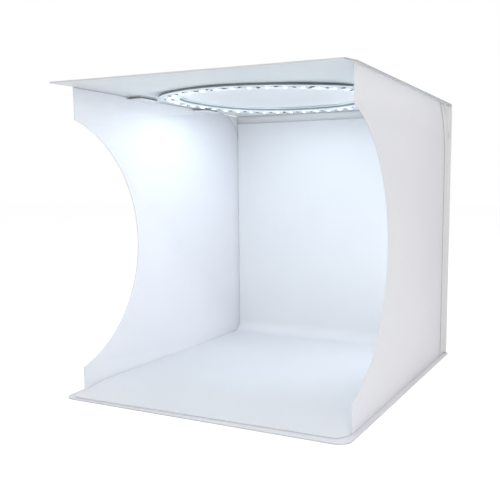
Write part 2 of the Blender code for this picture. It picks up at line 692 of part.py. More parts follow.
def inlet_housing(axis):
    """A small moulded box on the roof, open underneath, with a mouth for the socket in its rear face."""
    x, y = inlet_middle()
    floor = ROOF_TOP + SEAT_GAP
    low = (x - INLET_WIDTH / 2, y - INLET_LENGTH / 2, floor)
    high = (x + INLET_WIDTH / 2, y + INLET_LENGTH / 2, floor + INLET_HEIGHT)
    piece = bpy.data.objects.new("inlet_housing", boxes_mesh("inlet_housing", [(low, high, 0)]))
    PARTS.objects.link(piece)
    finish(piece, INLET_PLASTIC, axis)
    edges = piece.modifiers.new("rounding", "BEVEL")
    edges.width = INLET_ROUND
    edges.segments = 2
    hollow = (
        (low[0] + INLET_WALL, low[1] + INLET_WALL, low[2] - CUT_OVERRUN),
        (high[0] - INLET_WALL, high[1] - INLET_WALL, high[2] - INLET_WALL),
        0,
    )
    combine(piece, cutter("inlet_hollow", boxes_mesh("inlet_hollow", [hollow])), "DIFFERENCE")
    near, far = socket_box()
    mouth = (
        (near[0] - SEAT_GAP, near[1], near[2] - SEAT_GAP),
        (far[0] + SEAT_GAP, far[1] + CUT_OVERRUN, far[2] + SEAT_GAP),
        0,
    )
    combine(piece, cutter("inlet_mouth", boxes_mesh("inlet_mouth", [mouth])), "DIFFERENCE")


def socket_box():
    x, y = inlet_middle()
    rear = y + INLET_LENGTH / 2 + SOCKET_STANDS_OUT
    under = ROOF_TOP + SEAT_GAP + (INLET_HEIGHT - INLET_WALL - SOCKET_HEIGHT) / 2
    return (
        (x - SOCKET_WIDTH / 2, rear - SOCKET_DEPTH, under),
        (x + SOCKET_WIDTH / 2, rear, under + SOCKET_HEIGHT),
    )


def inlet_socket(axis):
    low, high = socket_box()
    piece = bpy.data.objects.new("inlet_socket", boxes_mesh("inlet_socket", [(low, high, 0)]))
    PARTS.objects.link(piece)
    finish(piece, PLATED_STEEL, axis)
    mouth = (
        (low[0] + SOCKET_WALL, low[1] + SOCKET_WALL, low[2] + SOCKET_WALL),
        (high[0] - SOCKET_WALL, high[1] + CUT_OVERRUN, high[2] - SOCKET_WALL),
        0,
    )
    combine(piece, cutter("socket_mouth", boxes_mesh("socket_mouth", [mouth])), "DIFFERENCE")


def inlet_lead(axis):
    """The ring's own lead: from the board's rim, along the roof's underside and up into the housing."""
    height = ROOF_UNDER - SEAT_GAP - LEAD_RADIUS
    start_radius = RING_OUTER + SEAT_GAP + LEAD_RADIUS
    start_x = start_radius * math.cos(LEAD_START_TURN)
    start_y = RING_MIDDLE + start_radius * math.sin(LEAD_START_TURN)
    start = Vector((start_x, start_y, height))
    rise = Vector((*lead_rise(), height))
    top = socket_box()[0][2] + SOCKET_HEIGHT / 2
    along = (rise - start).normalized()
    bend = [
        rise + along * LEAD_BEND * (math.sin(turn) - 1) + Vector((0, 0, LEAD_BEND * (1 - math.cos(turn))))
        for turn in (math.pi / 2 * step / LEAD_STEPS for step in range(LEAD_STEPS + 1))
    ]
    run = [start.lerp(bend[0], step / LEAD_RUN_STEPS) for step in range(LEAD_RUN_STEPS)]
    points = [point - Vector((0, 0, roof_sag(point.x, point.y))) for point in run + bend]
    points.append(Vector((rise.x, rise.y, top)))
    curve = bpy.data.curves.new("inlet_lead", "CURVE")
    curve.dimensions = "3D"
    curve.bevel_depth = LEAD_RADIUS
    curve.bevel_resolution = 2
    curve.use_fill_caps = True
    spline = curve.splines.new("POLY")
    spline.points.add(len(points) - 1)
    for point, place in zip(spline.points, points):
        point.co = (*place, 1)
    piece = bpy.data.objects.new("inlet_lead", curve)
    PARTS.objects.link(piece)
    finish(piece, LEAD_JACKET, axis)


def build():
    back_axis = add_axis("back_tip_axis", (0, BACK_REAR, BACK_FOOT))
    roof_axis = add_axis("roof_lift_axis", (0, BACK_REAR, BACK_HEAD), back_axis)
    cover_height = COVER_TOP + SEAT_GAP / 2 - roof_sag(0, COVER_REAR)
    cover_axis = add_axis("cover_lift_axis", (0, COVER_REAR, cover_height), roof_axis)
    sheet_axis = add_axis("backdrop_slide_axis", (0, SHEET_REAR, SHEET_FLOOR), back_axis)
    base_board()
    back_panel(back_axis)
    roof_panel(roof_axis)
    for name, side in (("left", -1), ("right", 1)):
        wall_axis = add_axis(name + "_wall_axis", (side * WALL_OUTSIDE, WALL_REAR, WALL_FOOT), back_axis)
        side_wall(name + "_wall", side, wall_axis)
        pads(name, side, wall_axis, roof_axis)
        wall_hinge_strip(name + "_hinge_strip", side, wall_axis, back_axis)
    cross_hinge_strip("base_hinge_strip", "base", BASE_TOP, BACK_FOOT, 1, back_axis, None)
    cross_hinge_strip("roof_hinge_strip", "roof", ROOF_UNDER, BACK_HEAD, -1, back_axis, roof_axis)
    ring_of_lamps(roof_axis)
    window_cover(roof_axis, cover_axis)
    backdrop_sheet(sheet_axis)
    backdrop_strips(back_axis, sheet_axis)
    inlet_housing(roof_axis)
    inlet_socket(roof_axis)
    inlet_lead(roof_axis)


build()
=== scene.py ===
"""Looks of the light tent cube: satin white sheets, woven tape, a lit lamp ring and a swept backdrop."""
import math

import bpy
from mathutils import Matrix, Vector


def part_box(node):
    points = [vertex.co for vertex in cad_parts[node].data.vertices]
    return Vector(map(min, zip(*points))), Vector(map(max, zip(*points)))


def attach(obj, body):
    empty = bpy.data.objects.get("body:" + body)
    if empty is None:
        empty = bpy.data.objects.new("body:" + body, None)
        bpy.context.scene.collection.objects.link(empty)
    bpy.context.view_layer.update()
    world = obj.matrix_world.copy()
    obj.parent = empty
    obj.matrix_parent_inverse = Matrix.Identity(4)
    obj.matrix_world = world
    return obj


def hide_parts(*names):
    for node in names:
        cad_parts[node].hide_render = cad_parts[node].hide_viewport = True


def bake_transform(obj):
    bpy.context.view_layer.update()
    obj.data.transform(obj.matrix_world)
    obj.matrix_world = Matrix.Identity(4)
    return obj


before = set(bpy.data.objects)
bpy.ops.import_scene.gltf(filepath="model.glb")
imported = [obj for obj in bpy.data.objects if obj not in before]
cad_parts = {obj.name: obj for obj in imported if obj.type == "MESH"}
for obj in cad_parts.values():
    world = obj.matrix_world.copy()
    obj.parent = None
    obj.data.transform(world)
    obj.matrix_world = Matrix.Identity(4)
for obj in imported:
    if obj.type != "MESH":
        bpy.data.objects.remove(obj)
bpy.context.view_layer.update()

# Camera
CAMERA_LENS = 49.6
CAMERA_SENSOR = 36.0
CAMERA_SHIFT = (-0.080, 0.038)
CAMERA_PLACE = (0.2717, -0.5330, 0.1638)
CAMERA_HEADING = 25.97  # degrees from straight into the tent, towards its left
CAMERA_DIP = 6.72
CAMERA_ROLL = -0.16

# Light of the studio
ROOM_LIGHT = 0.64
ROOM_COLOUR = (1.0, 0.985, 0.99)
FLOOR_WHITE = 0.435  # glow that lifts the floor to white for the camera
LIT_PLACE = (0, 0, 0.12)  # what both soft boxes face
FRONT_BOX_PLACE = (0.80, -1.15, 0.25)
FRONT_BOX_SIZE = 1.2
FRONT_BOX_POWER = 6.7
FRONT_BOX_COLOUR = (0.96, 0.98, 1.0)
TOP_BOX_PLACE = (0, 0, 1.3)
TOP_BOX_SIZE = 1.0
TOP_BOX_POWER = 5.0
TOP_BOX_COLOUR = (0.94, 0.98, 1.0)

# Light of the lamp ring: every light stands for three lamps
LAMP_LIGHT_COUNT = 14
LAMP_LIGHT_CIRCLE = 0.078
LAMP_LIGHT_COLOUR = (0.76, 0.91, 1.0)
LAMP_LIGHT_POWER = 0.0094  # downwards
LAMP_LIGHT_SIZE = 0.010
LAMP_LIGHT_DEPTH = 0.0035  # below the lamps
LAMP_SPILL_POWER = 0.0045  # all round
LAMP_SPILL_RADIUS = 0.005
LAMP_SPILL_DEPTH = 0.010
LAMP_GLOW = 3.0  # of the lenses themselves
LAMP_CASE_GLOW = 0.35

# What the right wall throws back on the left one
WALL_GLOW_POWER = 0.070
WALL_GLOW_SIZE = 0.15
WALL_GLOW_COLOUR = (0.92, 0.96, 1.0)
WALL_GLOW_FROM_WALL = 0.004
WALL_GLOW_BEHIND_MIDDLE = 0.055
WALL_GLOW_HEIGHT = 0.100

# Panels
PANEL = 0.0010  # thickness of the plastic sheet
PANEL_EDGE = 0.00018  # its broken edge
WELD = 0.00001  # corners nearer than this are one
STRAIGHT = 0.9  # share of an edge or a normal that makes it count as along an axis
FOLD_REACH = 0.0002  # edges this near the walls' front line belong to the roof's fold
ROOF_SHADOW_HEIGHT = 0.0008  # painted shadow line on the side walls, just under the roof
ROOF_SHADOW_SOFTNESS = 0.0002
ROOF_SHADOW_TONE = (0.42, 0.42, 0.44)

# Hinge tape
TAPE = 0.0003
TAPE_WIDTH = 0.0120
TAPE_TAPER = 0.0500  # height over which a wall's tape widens to its upper end
TAPE_END = 0.0004  # panel edge that the tape leaves bare at each end
TAPE_OVER_FOOT = 0.0010
TAPE_UNDER_HEAD = 0.0008
TAPE_CLEAR = 0.0003  # to the rim of the margin it lies on
TAPE_OUTER_CORNER = 0.0022
TAPE_BEND = 0.0009  # radius of its fold
TAPE_HOLLOW = 0.0008  # how far it sinks in beside the wall's round corner
HOLLOW_SLOPE_SHARE = 0.6
SEAT = 0.00005  # tape to the panel under it
WALL_CORNER = 0.0340
CORNER_SHADE = 0.0010  # half the width of the painted shade line over the wall's round corner on the tape
CORNER_SHADE_SOFTNESS = 0.0007
CORNER_SHADE_END = (0.002, 0.003)  # the painted shade line starts this far in from the round's ends, in depth and height
CORNER_SHADE_FADE = (0.001, 0.003)
# painted shade along the tape's front edge: its width and softness
TAPE_EDGE_SHADE = 0.0006
TAPE_EDGE_SHADE_SOFTNESS = 0.0004
THREADS = 520.0  # scale of the weave's waves
CROSS_TAPE_COLUMNS = 24
CROSS_TAPE_ROWS = 40
BEND_STEPS = 8

# Where a tape starts and ends its bend, from the fold
BEND_BEFORE = 0.0005
BEND_AFTER = 0.0012
COVER_BEND_BEFORE = 0.0004

# The cover's tape steps down from the cover to the roof, behind the cover's rear edge
COVER_STEP = 0.0003
COVER_STEP_FOOT = 0.0008
COVER_STEP_END = 0.0015

# Backdrop sheet
SHEET = 0.0005
SHEET_BESIDE = 0.00025  # between its side and the wall
SHEET_RAMP = 0.0480  # length over which it climbs onto the walls' flaps
SHEET_SWEEP = 0.0120  # radius
SHEET_FRONT_LEFT = 0.0025  # its front edge behind the base's
SHEET_FRONT_RIGHT = 0.0075
SHEET_FRONT_CORNER = 0.0080
SHEET_COLUMNS = 56
RAMP_STEPS = 12
SWEEP_STEPS = 20
STRAIGHT_STEPS = 16

# The roof's sag, as in the frame's roof panel
ROOF_SAG = 0.0038
SAG_FULLNESS = 4  # how flat the sag's middle is across the tent
SAG_REAR_FULLNESS = 6  # how soon it reaches its depth in front of the back panel
LIP_DROOP = 0.0004  # of the front edge, at the left
LIP_DROOP_RIGHT = 0.0019

# Hook and loop pads
PAD_CORNER = 0.0015
PAD_RIM = 0.0005
PAD_CROWN_RIM = 0.0006
PAD_EDGE = 0.00010
PAD_CLOTH_SHARE = 0.7  # of its height: the cloth under the tufts
PAD_SHIFT_SHARE = 0.15  # which lies this far from the middle
PAD_CROWN_SHARE = 0.22  # and the tufts' height over it

# Lamp board, down from the roof's underside
GAP = 0.0003  # between pieces that lie on each other
SPACER = 0.0005
SPACER_INSET = 0.0020  # foam's inner edge outside the board's
SPACER_EDGE = 0.00006
SPACER_LIT = 0.0030  # foam further than this within the lamps' circle is lit
BOARD = 0.0010
BOARD_WIDTH = 0.0170
BOARD_EDGE = 0.00008
LAMP_COUNT = 42
LAMP_LONG = 0.0035
LAMP_WIDE = 0.0028
LAMP_HIGH = 0.0011
LAMP_RIM = 0.00035
LAMP_WELL = 0.00030
LAMP_EDGE = 0.00012
LENS_RADIUS = 0.00095
LENS_SHAPE_SHARES = (1.25, 1.0, 0.30)
LENS_BRIGHT = 0.0007  # half the width of its brightest part
LENS_SOFTNESS = 0.0004
TRACK = 0.00015
TRACK_WIDTH = 0.0016
TRACK_EDGE = 0.00004
SIDE_TRACK_OFFSET = 0.0042  # rings printed on both sides of the lamps' circle
SIDE_TRACK = 0.0007  # half its width
SIDE_TRACK_SOFTNESS = 0.0002
CHIP_LONG = 0.0026
CHIP_WIDE = 0.0013
CHIP_HIGH = 0.0005
CHIP_END = 0.00045
CHIP_END_SHARE = 1.1  # of the body's width and height
CHIP_RIM = 0.00008
CHIP_CROWN = 0.00004
CHIP_OFFSET = 0.0021  # from the lamps' circle, outwards
CHIP_INNER_SHARE = 1.4  # of that, inwards
CHIP_TURN = math.radians(38.0)
FIRST_LAMP_TURN = math.radians(3.0)
RING_STEPS = 4 * LAMP_COUNT
RING_BLEND = 0.001  # softness of a change of tone between rings

# Socket's tongue and contacts, as shares of the socket
TONGUE_SHARES = (0.56, 0.72, 0.20)
TONGUE_TIP_SHARE = 0.03
TONGUE_EDGE = 0.00005
CONTACT_COUNT = 5
CONTACT_SHARES = (0.045, 0.55, 0.02)
CONTACT_SPACING_SHARE = 0.10
CONTACT_OUT_SHARE = 0.05
CONTACT_DROP_SHARE = 0.105
CONTACT_EDGE = 0.00001

# Depth of each surface's relief
SHEET_GRAIN = 0.00003
TAPE_WEAVE = 0.00008
HOOK_PILE = 0.0004
LOOP_PILE = 0.0003
FOAM_PORES = 0.0002
BOARD_RELIEF = 0.00005
MOULDED_SPARK = 0.00003
DRAWN_LINES = 0.00001

# Floor
FLOOR_SIZE = 12
FLOOR_DROP = 0.0002  # under the base board


def corners_of(node):
    """The low and the high corner of a frame node's box."""
    low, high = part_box(node)
    return Vector(low), Vector(high)


WALL_LOW, WALL_HIGH = corners_of("right_wall")
BACK_LOW, BACK_HIGH = corners_of("back_panel")
BASE_LOW, BASE_HIGH = corners_of("base_board")
ROOF_LOW, ROOF_HIGH = corners_of("roof_panel")
BOARD_LOW, BOARD_HIGH = corners_of("ring_board")
SHEET_LOW, SHEET_HIGH = corners_of("backdrop_sheet")
COVER_REAR = corners_of("window_cover")[1].y
RING_MIDDLE = Vector((0, (BOARD_LOW.y + BOARD_HIGH.y) / 2, WALL_HIGH.z))
LAMP_CIRCLE = corners_of("lamp_row")[1].x - LAMP_LONG / 2
BOARD_TOP = WALL_HIGH.z - SPACER - GAP
BOARD_UNDER = BOARD_TOP - BOARD
LAMPS_UNDER = BOARD_UNDER - LAMP_HIGH


def roof_sag(x, y):
    """How far the roof, and what lies on or under it, hangs below the walls' heads at a point."""
    flaps = WALL_LOW.x
    across = ROOF_SAG * (1 - min(1, abs(x) / flaps) ** SAG_FULLNESS)
    if y < WALL_LOW.y:
        forward = (WALL_LOW.y - y) / (WALL_LOW.y - ROOF_LOW.y)
        to_left = (ROOF_HIGH.x - x) / (2 * ROOF_HIGH.x)
        front_edge = LIP_DROOP_RIGHT + (LIP_DROOP - LIP_DROOP_RIGHT) * to_left
        return across + (front_edge - across) * forward
    from_front = min(1, (y - WALL_LOW.y) / (BACK_LOW.y - WALL_LOW.y))
    return across * (1 - from_front**SAG_REAR_FULLNESS)


def let_sag(piece):
    """Lets a piece down with the roof over it."""
    for vertex in piece.data.vertices:
        vertex.co.z -= roof_sag(vertex.co.x, vertex.co.y)
    return piece


# Making and shaping pieces


def deselect():
    bpy.ops.object.select_all(action="DESELECT")


def only(piece):
    """Makes the piece the one that the next operator works on."""
    deselect()
    piece.select_set(True)
    bpy.context.view_layer.objects.active = piece


def pick(piece, kind, test):
    """Opens edit mode with the faces or edges selected that pass the test."""
    only(piece)
    bpy.ops.object.mode_set(mode="EDIT")
    bpy.ops.mesh.select_mode(type=kind)
    bpy.ops.mesh.select_all(action="DESELECT")
    bpy.ops.object.mode_set(mode="OBJECT")
    for part in piece.data.polygons if kind == "FACE" else piece.data.edges:
        part.select = test(part)
    bpy.ops.object.mode_set(mode="EDIT")


def pick_all(piece):
    pick(piece, "FACE", lambda face: True)


def done_editing():
    bpy.ops.object.mode_set(mode="OBJECT")


def round_edges(piece, test, width, segments=2):
    """Bevels the edges that pass the test."""
    pick(piece, "EDGE", test)
    bpy.ops.mesh.bevel(offset=width, segments=segments, affect="EDGES")
    done_editing()


def apply_place(piece):
    only(piece)
    bpy.ops.object.transform_apply(location=True, rotation=True, scale=True)


def box_piece(name, size, place):
    deselect()
    bpy.ops.mesh.primitive_cube_add(size=1, location=place)
    piece = bpy.context.object
    piece.name = name
    piece.scale = size
    apply_place(piece)
    return piece


def with_modifier(piece, kind, **settings):
    only(piece)
    modifier = piece.modifiers.new(kind.lower(), kind)
    for key, value in settings.items():
        setattr(modifier, key, value)
    bpy.ops.object.modifier_apply(modifier=modifier.name)


def break_edges(piece, width, sharper_than=50):
    """Bevels the edges that turn by more than an angle in degrees."""
    angle = math.radians(sharper_than)
    with_modifier(piece, "BEVEL", width=width, segments=2, limit_method="ANGLE", angle_limit=angle)


def smooth(piece, degrees=35):
    only(piece)
    bpy.ops.object.shade_smooth_by_angle(angle=math.radians(degrees))


def joined(pieces, name):
    deselect()
    for piece in pieces:
        piece.select_set(True)
    bpy.context.view_layer.objects.active = pieces[0]
    bpy.ops.object.join()
    pieces[0].name = name
    return pieces[0]


def copies_round_ring(source, turns, name):
    """Copies of a piece that stands at the ring's +X side, turned about the ring's middle."""
    middle = Matrix.Translation((0, RING_MIDDLE.y, 0))
    pieces = []
    for turn in turns:
        piece = source.copy()
        piece.data = source.data.copy()
        piece.data.transform(middle @ Matrix.Rotation(turn, 4, "Z") @ middle.inverted())
        bpy.context.scene.collection.objects.link(piece)
        pieces.append(piece)
    bpy.data.objects.remove(source, do_unlink=True)
    return joined(pieces, name)


def turned_ring(name, inner, outer, low, high, edge):
    """A flat ring with broken edges, spun from its section and let down with the roof."""
    deselect()
    place = ((inner + outer) / 2, RING_MIDDLE.y, (low + high) / 2)
    bpy.ops.mesh.primitive_grid_add(
        x_subdivisions=6, y_subdivisions=1, size=1, location=place, rotation=(math.pi / 2, 0, 0)
    )
    ring = bpy.context.object
    ring.name = name
    ring.scale = (outer - inner, high - low, 1)
    apply_place(ring)
    pick_all(ring)
    bpy.ops.mesh.region_to_loop()
    bpy.ops.mesh.select_all(action="INVERT")
    bpy.ops.mesh.delete(type="EDGE_FACE")
    bpy.ops.mesh.select_all(action="SELECT")
    middle = (0, RING_MIDDLE.y, 0)
    bpy.ops.mesh.spin(steps=RING_STEPS, angle=2 * math.pi, center=middle, axis=(0, 0, 1))
    bpy.ops.mesh.select_all(action="SELECT")
    bpy.ops.mesh.remove_doubles(threshold=WELD)
    bpy.ops.mesh.normals_make_consistent(inside=False)
    done_editing()
    break_edges(ring, edge)
    smooth(let_sag(ring))
    return ring


def flexible_sheet(name, columns, rows, point, cut, thickness, offset, cut_place=None):
    """A thin sheet. Point gives the place of (across, along), each from 0 to 1.

    Cut_place gives its place when flat. Without it the sheet is a rectangle when flat, of the size of cut.
    """
    deselect()
    bpy.ops.mesh.primitive_grid_add(x_subdivisions=columns, y_subdivisions=rows, size=2)
    piece = bpy.context.object
    piece.name = name
    shares = [((vertex.co.x + 1) / 2, (vertex.co.y + 1) / 2) for vertex in piece.data.vertices]
    weave = piece.data.uv_layers.active.data
    for loop in piece.data.loops:
        u, v = shares[loop.vertex_index]
        weave[loop.index].uv = cut_place(u, v) if cut_place else (u * cut[0], v * cut[1])
    for vertex, (u, v) in zip(piece.data.vertices, shares):
        vertex.co = point(u, v)
    with_modifier(piece, "SOLIDIFY", thickness=thickness, offset=offset)
    smooth(piece)
    return piece


def finish_piece(piece, look, nodes=(), body=None):
    """Gives a piece its look, the nodes it stands for and the body it rides on."""
    piece.data.materials.clear()
    piece.data.materials.append(look)
    if nodes:
        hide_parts(*nodes)
    if body:
        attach(piece, body)
    return piece


# Shaders


class Signal:
    """A socket's output. Sums on it add Math nodes."""

    def __init__(self, network, socket):
        self.network = network
        self.socket = socket

    def sum(self, operation, first, second=None):
        values = {0: first} if second is None else {0: first, 1: second}
        return self.network.node("Math", {"operation": operation}, values)

    def __add__(self, other):
        return self.sum("ADD", self, other)

    __radd__ = __add__

    def __sub__(self, other):
        return self.sum("SUBTRACT", self, other)

    def __rsub__(self, other):
        return self.sum("SUBTRACT", other, self)

    def __mul__(self, other):
        return self.sum("MULTIPLY", self, other)

    __rmul__ = __mul__

    def __abs__(self):
        return self.sum("ABSOLUTE", self)

    def above(self, level, softness):
        """0 under the level and 1 above it, with a soft step between."""
        return self.network.node(
            "MapRange",
            {"interpolation_type": "SMOOTHSTEP"},
            {"Value": self, "From Min": level - softness, "From Max": level + softness},
        )

    def under(self, level, softness):
        return 1 - self.above(level, softness)


class Network:
    """The nodes of a material or of the room."""

    def __init__(self, tree):
        self.tree = tree

    def node(self, kind, settings=None, values=None, output=0):
        made = self.tree.nodes.new("ShaderNode" + kind)
        for key, value in (settings or {}).items():
            setattr(made, key, value)
        for key, value in (values or {}).items():
            self.put(made.inputs[key], value)
        return Signal(self, made.outputs[output])

    def put(self, socket, value):
        """Joins a signal to a socket, or sets the socket to a plain value. A colour is three numbers."""
        if isinstance(value, Signal):
            self.tree.links.new(value.socket, socket)
        elif socket.type == "RGBA":
            socket.default_value = (*value, 1)
        else:
            socket.default_value = value

    def seen_directly(self):
        """1 for a ray from the camera, a reflection or clear glass, and 0 for one that lights a surface."""
        camera = self.node("LightPath", output="Is Camera Ray")
        mirrored = self.node("LightPath", output="Is Glossy Ray")
        let_through = self.node("LightPath", output="Is Transmission Ray")
        return camera.sum("MAXIMUM", camera, mirrored.sum("MAXIMUM", mirrored, let_through))


class Look(Network):
    """One material under construction."""

    def __init__(self, name):
        self.material = bpy.data.materials.new(name)
        self.material.use_nodes = True
        super().__init__(self.material.node_tree)
        self.shader = self.tree.nodes["Principled BSDF"]
        self.end = self.tree.nodes["Material Output"]

    def place(self, output="Object"):
        return self.node("TexCoord", output=output)

    def part(self, vector, axis):
        return self.node("SeparateXYZ", values={0: vector}, output=axis)

    def noise(self, scale, detail=3.0, stretch=None):
        vector = self.place()
        if stretch:
            vector = self.node("Mapping", values={"Vector": vector, "Scale": stretch})
        return self.node("TexNoise", values={"Vector": vector, "Scale": scale, "Detail": detail})

    def tint(self, factor, first, second):
        """Goes from the first colour to the second as the factor goes from 0 to 1.

        A Mix node has its colours at inputs 6 and 7 and at output 2.
        """
        return self.node("Mix", {"data_type": "RGBA"}, {0: factor, 6: first, 7: second}, output=2)

    def bump(self, height, distance, strength=1.0):
        return self.node("Bump", values={"Height": height, "Distance": distance, "Strength": strength})

    def set(self, **values):
        for key, value in values.items():
            self.put(self.shader.inputs[key.replace("_", " ")], value)

    def translucent(self, share, colour):
        """Lets a share of the light through the sheet."""
        surface = Signal(self, self.shader.outputs[0])
        through = self.node("BsdfTranslucent", values={"Color": colour})
        mixed = self.node("MixShader", values={0: share, 1: surface, 2: through})
        self.put(self.end.inputs["Surface"], mixed)


def distance_from_ring_middle(look):
    """Level distance from the ring's axis."""
    centred = look.node("VectorMath", {"operation": "SUBTRACT"}, {0: look.place(), 1: RING_MIDDLE})
    flat = look.node("VectorMath", {"operation": "MULTIPLY"}, {0: centred, 1: (1, 1, 0)})
    return look.node("VectorMath", {"operation": "LENGTH"}, {0: flat}, output=1)


def plastic_sheet(
    name, across, pale, dull, edge, roughness=0.42, through=0.22, other_edges=(), bent=False, roof_shadow=0
):
    """Extruded white sheet: fine grain, faint rub marks, a greyer cut edge that is partly painted shade.

    Across is the sheet's thin axis: 0, 1 or 2. Pale and dull are the two tones of its face. Edge is the tone
    of its cut edge, darker than the face partly as painted shade. Other_edges are the tones of its front edge
    and of its window's edge. A bent sheet lies across its axis, and only its side edges are marked. The last
    argument is how dark a painted shadow line is where a side wall meets the roof.
    """
    look = Look(name)
    clouds = look.noise(9.0, 4.0)
    grain = look.noise(1400.0, 2.0)
    stretch = [60.0, 60.0, 60.0]
    stretch[(across + 1) % 3] = 9.0
    rubs = look.noise(5.0, 5.0, stretch=stretch).above(0.66, 0.05)
    facing = abs(look.part(look.place("Normal"), across))
    cut_edge = facing.above(0.55, 0.25) if bent else facing.under(0.55, 0.25)
    face = look.tint(clouds.above(0.5, 0.22), dull, pale)
    rubbed_and_shaded = look.tint(rubs * 0.35, face, dull)
    # a painted shadow line where a side wall meets the roof, darker than the face with its rub marks
    if roof_shadow:
        rubbed_and_shaded = look.tint(painted_shadow_under_roof(look) * roof_shadow, rubbed_and_shaded, ROOF_SHADOW_TONE)
    if other_edges:
        front_tone, window_tone = other_edges
        at_front = abs(look.part(look.place("Normal"), 1)).above(0.6, 0.2)
        within_ring = distance_from_ring_middle(look).under(LAMP_CIRCLE, RING_BLEND)
        edge = look.tint(at_front, edge, front_tone)
        edge = look.tint(within_ring, edge, window_tone)
    # cut edges take the edge tones, partly the sheet's own edge and partly painted shade
    colour = look.tint(cut_edge, rubbed_and_shaded, edge)
    look.set(
        Base_Color=colour,
        Roughness=roughness + clouds * 0.10 + rubs * 0.10 - 0.05,
        Specular_IOR_Level=0.35,
        Normal=look.bump(grain, SHEET_GRAIN, 0.5),
    )
    look.translucent(through - cut_edge * through, pale)
    return look.material


def painted_shadow_under_roof(look):
    """Mask of the painted shadow line on a side wall's inner face, along its top under the roof."""
    across, up = look.part(look.place(), 0), look.part(look.place(), 2)
    facing_in = (across * look.part(look.place("Normal"), 0)).under(0.0, 0.02)
    return up.above(WALL_HIGH.z - ROOF_SHADOW_HEIGHT, ROOF_SHADOW_SOFTNESS) * facing_in


def painted_shade_over_wall_corner(look):
    """Mask of a painted shade line on the tape, where it lies over the wall's round top corner."""
    along, up = look.part(look.place(), 1), look.part(look.place(), 2)
    corner_y, corner_z = WALL_HIGH.y - WALL_CORNER, WALL_HIGH.z - WALL_CORNER
    from_middle = look.node("CombineXYZ", values={0: along - corner_y, 1: up - corner_z, 2: 0.0})
    distance = look.node("VectorMath", {"operation": "LENGTH"}, {0: from_middle}, output=1)
    start_y, start_z = corner_y + CORNER_SHADE_END[0], corner_z + CORNER_SHADE_END[1]
    inside_corner = along.above(start_y, CORNER_SHADE_FADE[0]) * up.above(start_z, CORNER_SHADE_FADE[1])
    return abs(distance - WALL_CORNER).under(CORNER_SHADE, CORNER_SHADE_SOFTNESS) * inside_corner


def woven_tape(name, light, dark, edge):
    """Plain weave in the tape's own UV map, which is in metres, with painted shade lines along one edge and
    over the wall's round corner.
    """
    look = Look(name)
    weave = look.place("UV")
    wave = {"Vector": weave, "Scale": THREADS, "Distortion": 0.6, "Detail": 1.0}
    across = look.node("TexWave", {"bands_direction": "X"}, wave)
    along = look.node("TexWave", {"bands_direction": "Y"}, wave)
    thread = across * along
    dirt = look.noise(60.0, 4.0)
    fuzz = look.noise(2600.0, 2.0)
    cloth = look.tint(thread * 0.7 + dirt * 0.3, dark, light)
    # painted shade: a line along the tape's front edge and one over the wall's round corner, both in the edge
    # tone
    edge_shade = look.part(weave, 0).under(TAPE_EDGE_SHADE, TAPE_EDGE_SHADE_SOFTNESS)
    marks = edge_shade * 0.8 + painted_shade_over_wall_corner(look) * 0.9
    look.set(
        Base_Color=look.tint(marks, cloth, edge),
        Roughness=0.78 + fuzz * 0.18,
        Specular_IOR_Level=0.2,
        Sheen_Weight=0.25,
        Sheen_Roughness=0.5,
        Normal=look.bump(thread + fuzz * 0.5, TAPE_WEAVE, 0.8),
    )
    return look.material


def fastener_face(name, light, dark, scale, depth):
    """Hooks or loops: close-set bumps in two tones."""
    look = Look(name)
    dots = look.node("TexVoronoi", {"feature": "F1"}, {"Vector": look.place(), "Scale": scale})
    fluff = look.noise(scale * 2.5, 3.0)
    colour = look.tint(dots * 1.3 + fluff * 0.4 - 0.3, light, dark)
    look.set(
        Base_Color=colour,
        Roughness=0.85 + fluff * 0.12,
        Specular_IOR_Level=0.2,
        Sheen_Weight=0.3,
        Normal=look.bump(fluff - dots, depth, 1.0),
    )
    return look.material


def foam(name):
    """Dark foam that is paler where the lamp board's inner edge lights it."""
    look = Look(name)
    cells = look.node("TexVoronoi", {"feature": "F1"}, {"Vector": look.place(), "Scale": 1900.0})
    clouds = look.noise(120.0, 3.0)
    pores = look.tint(cells * 0.8 + clouds * 0.3, (0.17, 0.185, 0.20), (0.30, 0.32, 0.34))
    inner_side = distance_from_ring_middle(look).under(LAMP_CIRCLE - SPACER_LIT, RING_BLEND)
    look.set(
        Base_Color=look.tint(inner_side, pores, (0.62, 0.65, 0.67)),
        Roughness=0.82 + clouds * 0.15,
        Specular_IOR_Level=0.25,
        Normal=look.bump(cells, FOAM_PORES, 0.8),
    )
    return look.material


def lamp_board_look(name):
    """White solder mask over printed tracks, which show as raised rings, and bare board at the cut rims.

    The outer rim is dark, and the inner rim of the same board is painted paler, as painted light.
    """
    look = Look(name)
    radius = distance_from_ring_middle(look)
    from_circle = abs(radius - LAMP_CIRCLE)
    tracks = abs(from_circle - SIDE_TRACK_OFFSET).under(SIDE_TRACK, SIDE_TRACK_SOFTNESS)
    facing = abs(look.part(look.place("Normal"), 2))
    rim = facing.under(0.6, 0.2)
    outer_rim = radius.above(LAMP_CIRCLE, RING_BLEND)
    clouds = look.noise(70.0, 3.0)
    mask = look.tint(clouds, (0.70, 0.76, 0.80), (0.80, 0.85, 0.88))
    printed = look.tint(tracks * 0.55, mask, (0.62, 0.70, 0.74))
    # one bare board at both rims: the inner rim's pale tone is painted light
    bare = look.tint(outer_rim, (0.80, 0.83, 0.85), (0.20, 0.22, 0.23))
    look.set(
        Base_Color=look.tint(rim, printed, bare),
        Roughness=0.30 + clouds * 0.15 + rim * 0.3,
        Normal=look.bump(tracks + clouds * 0.2, BOARD_RELIEF, 0.6),
    )
    return look.material


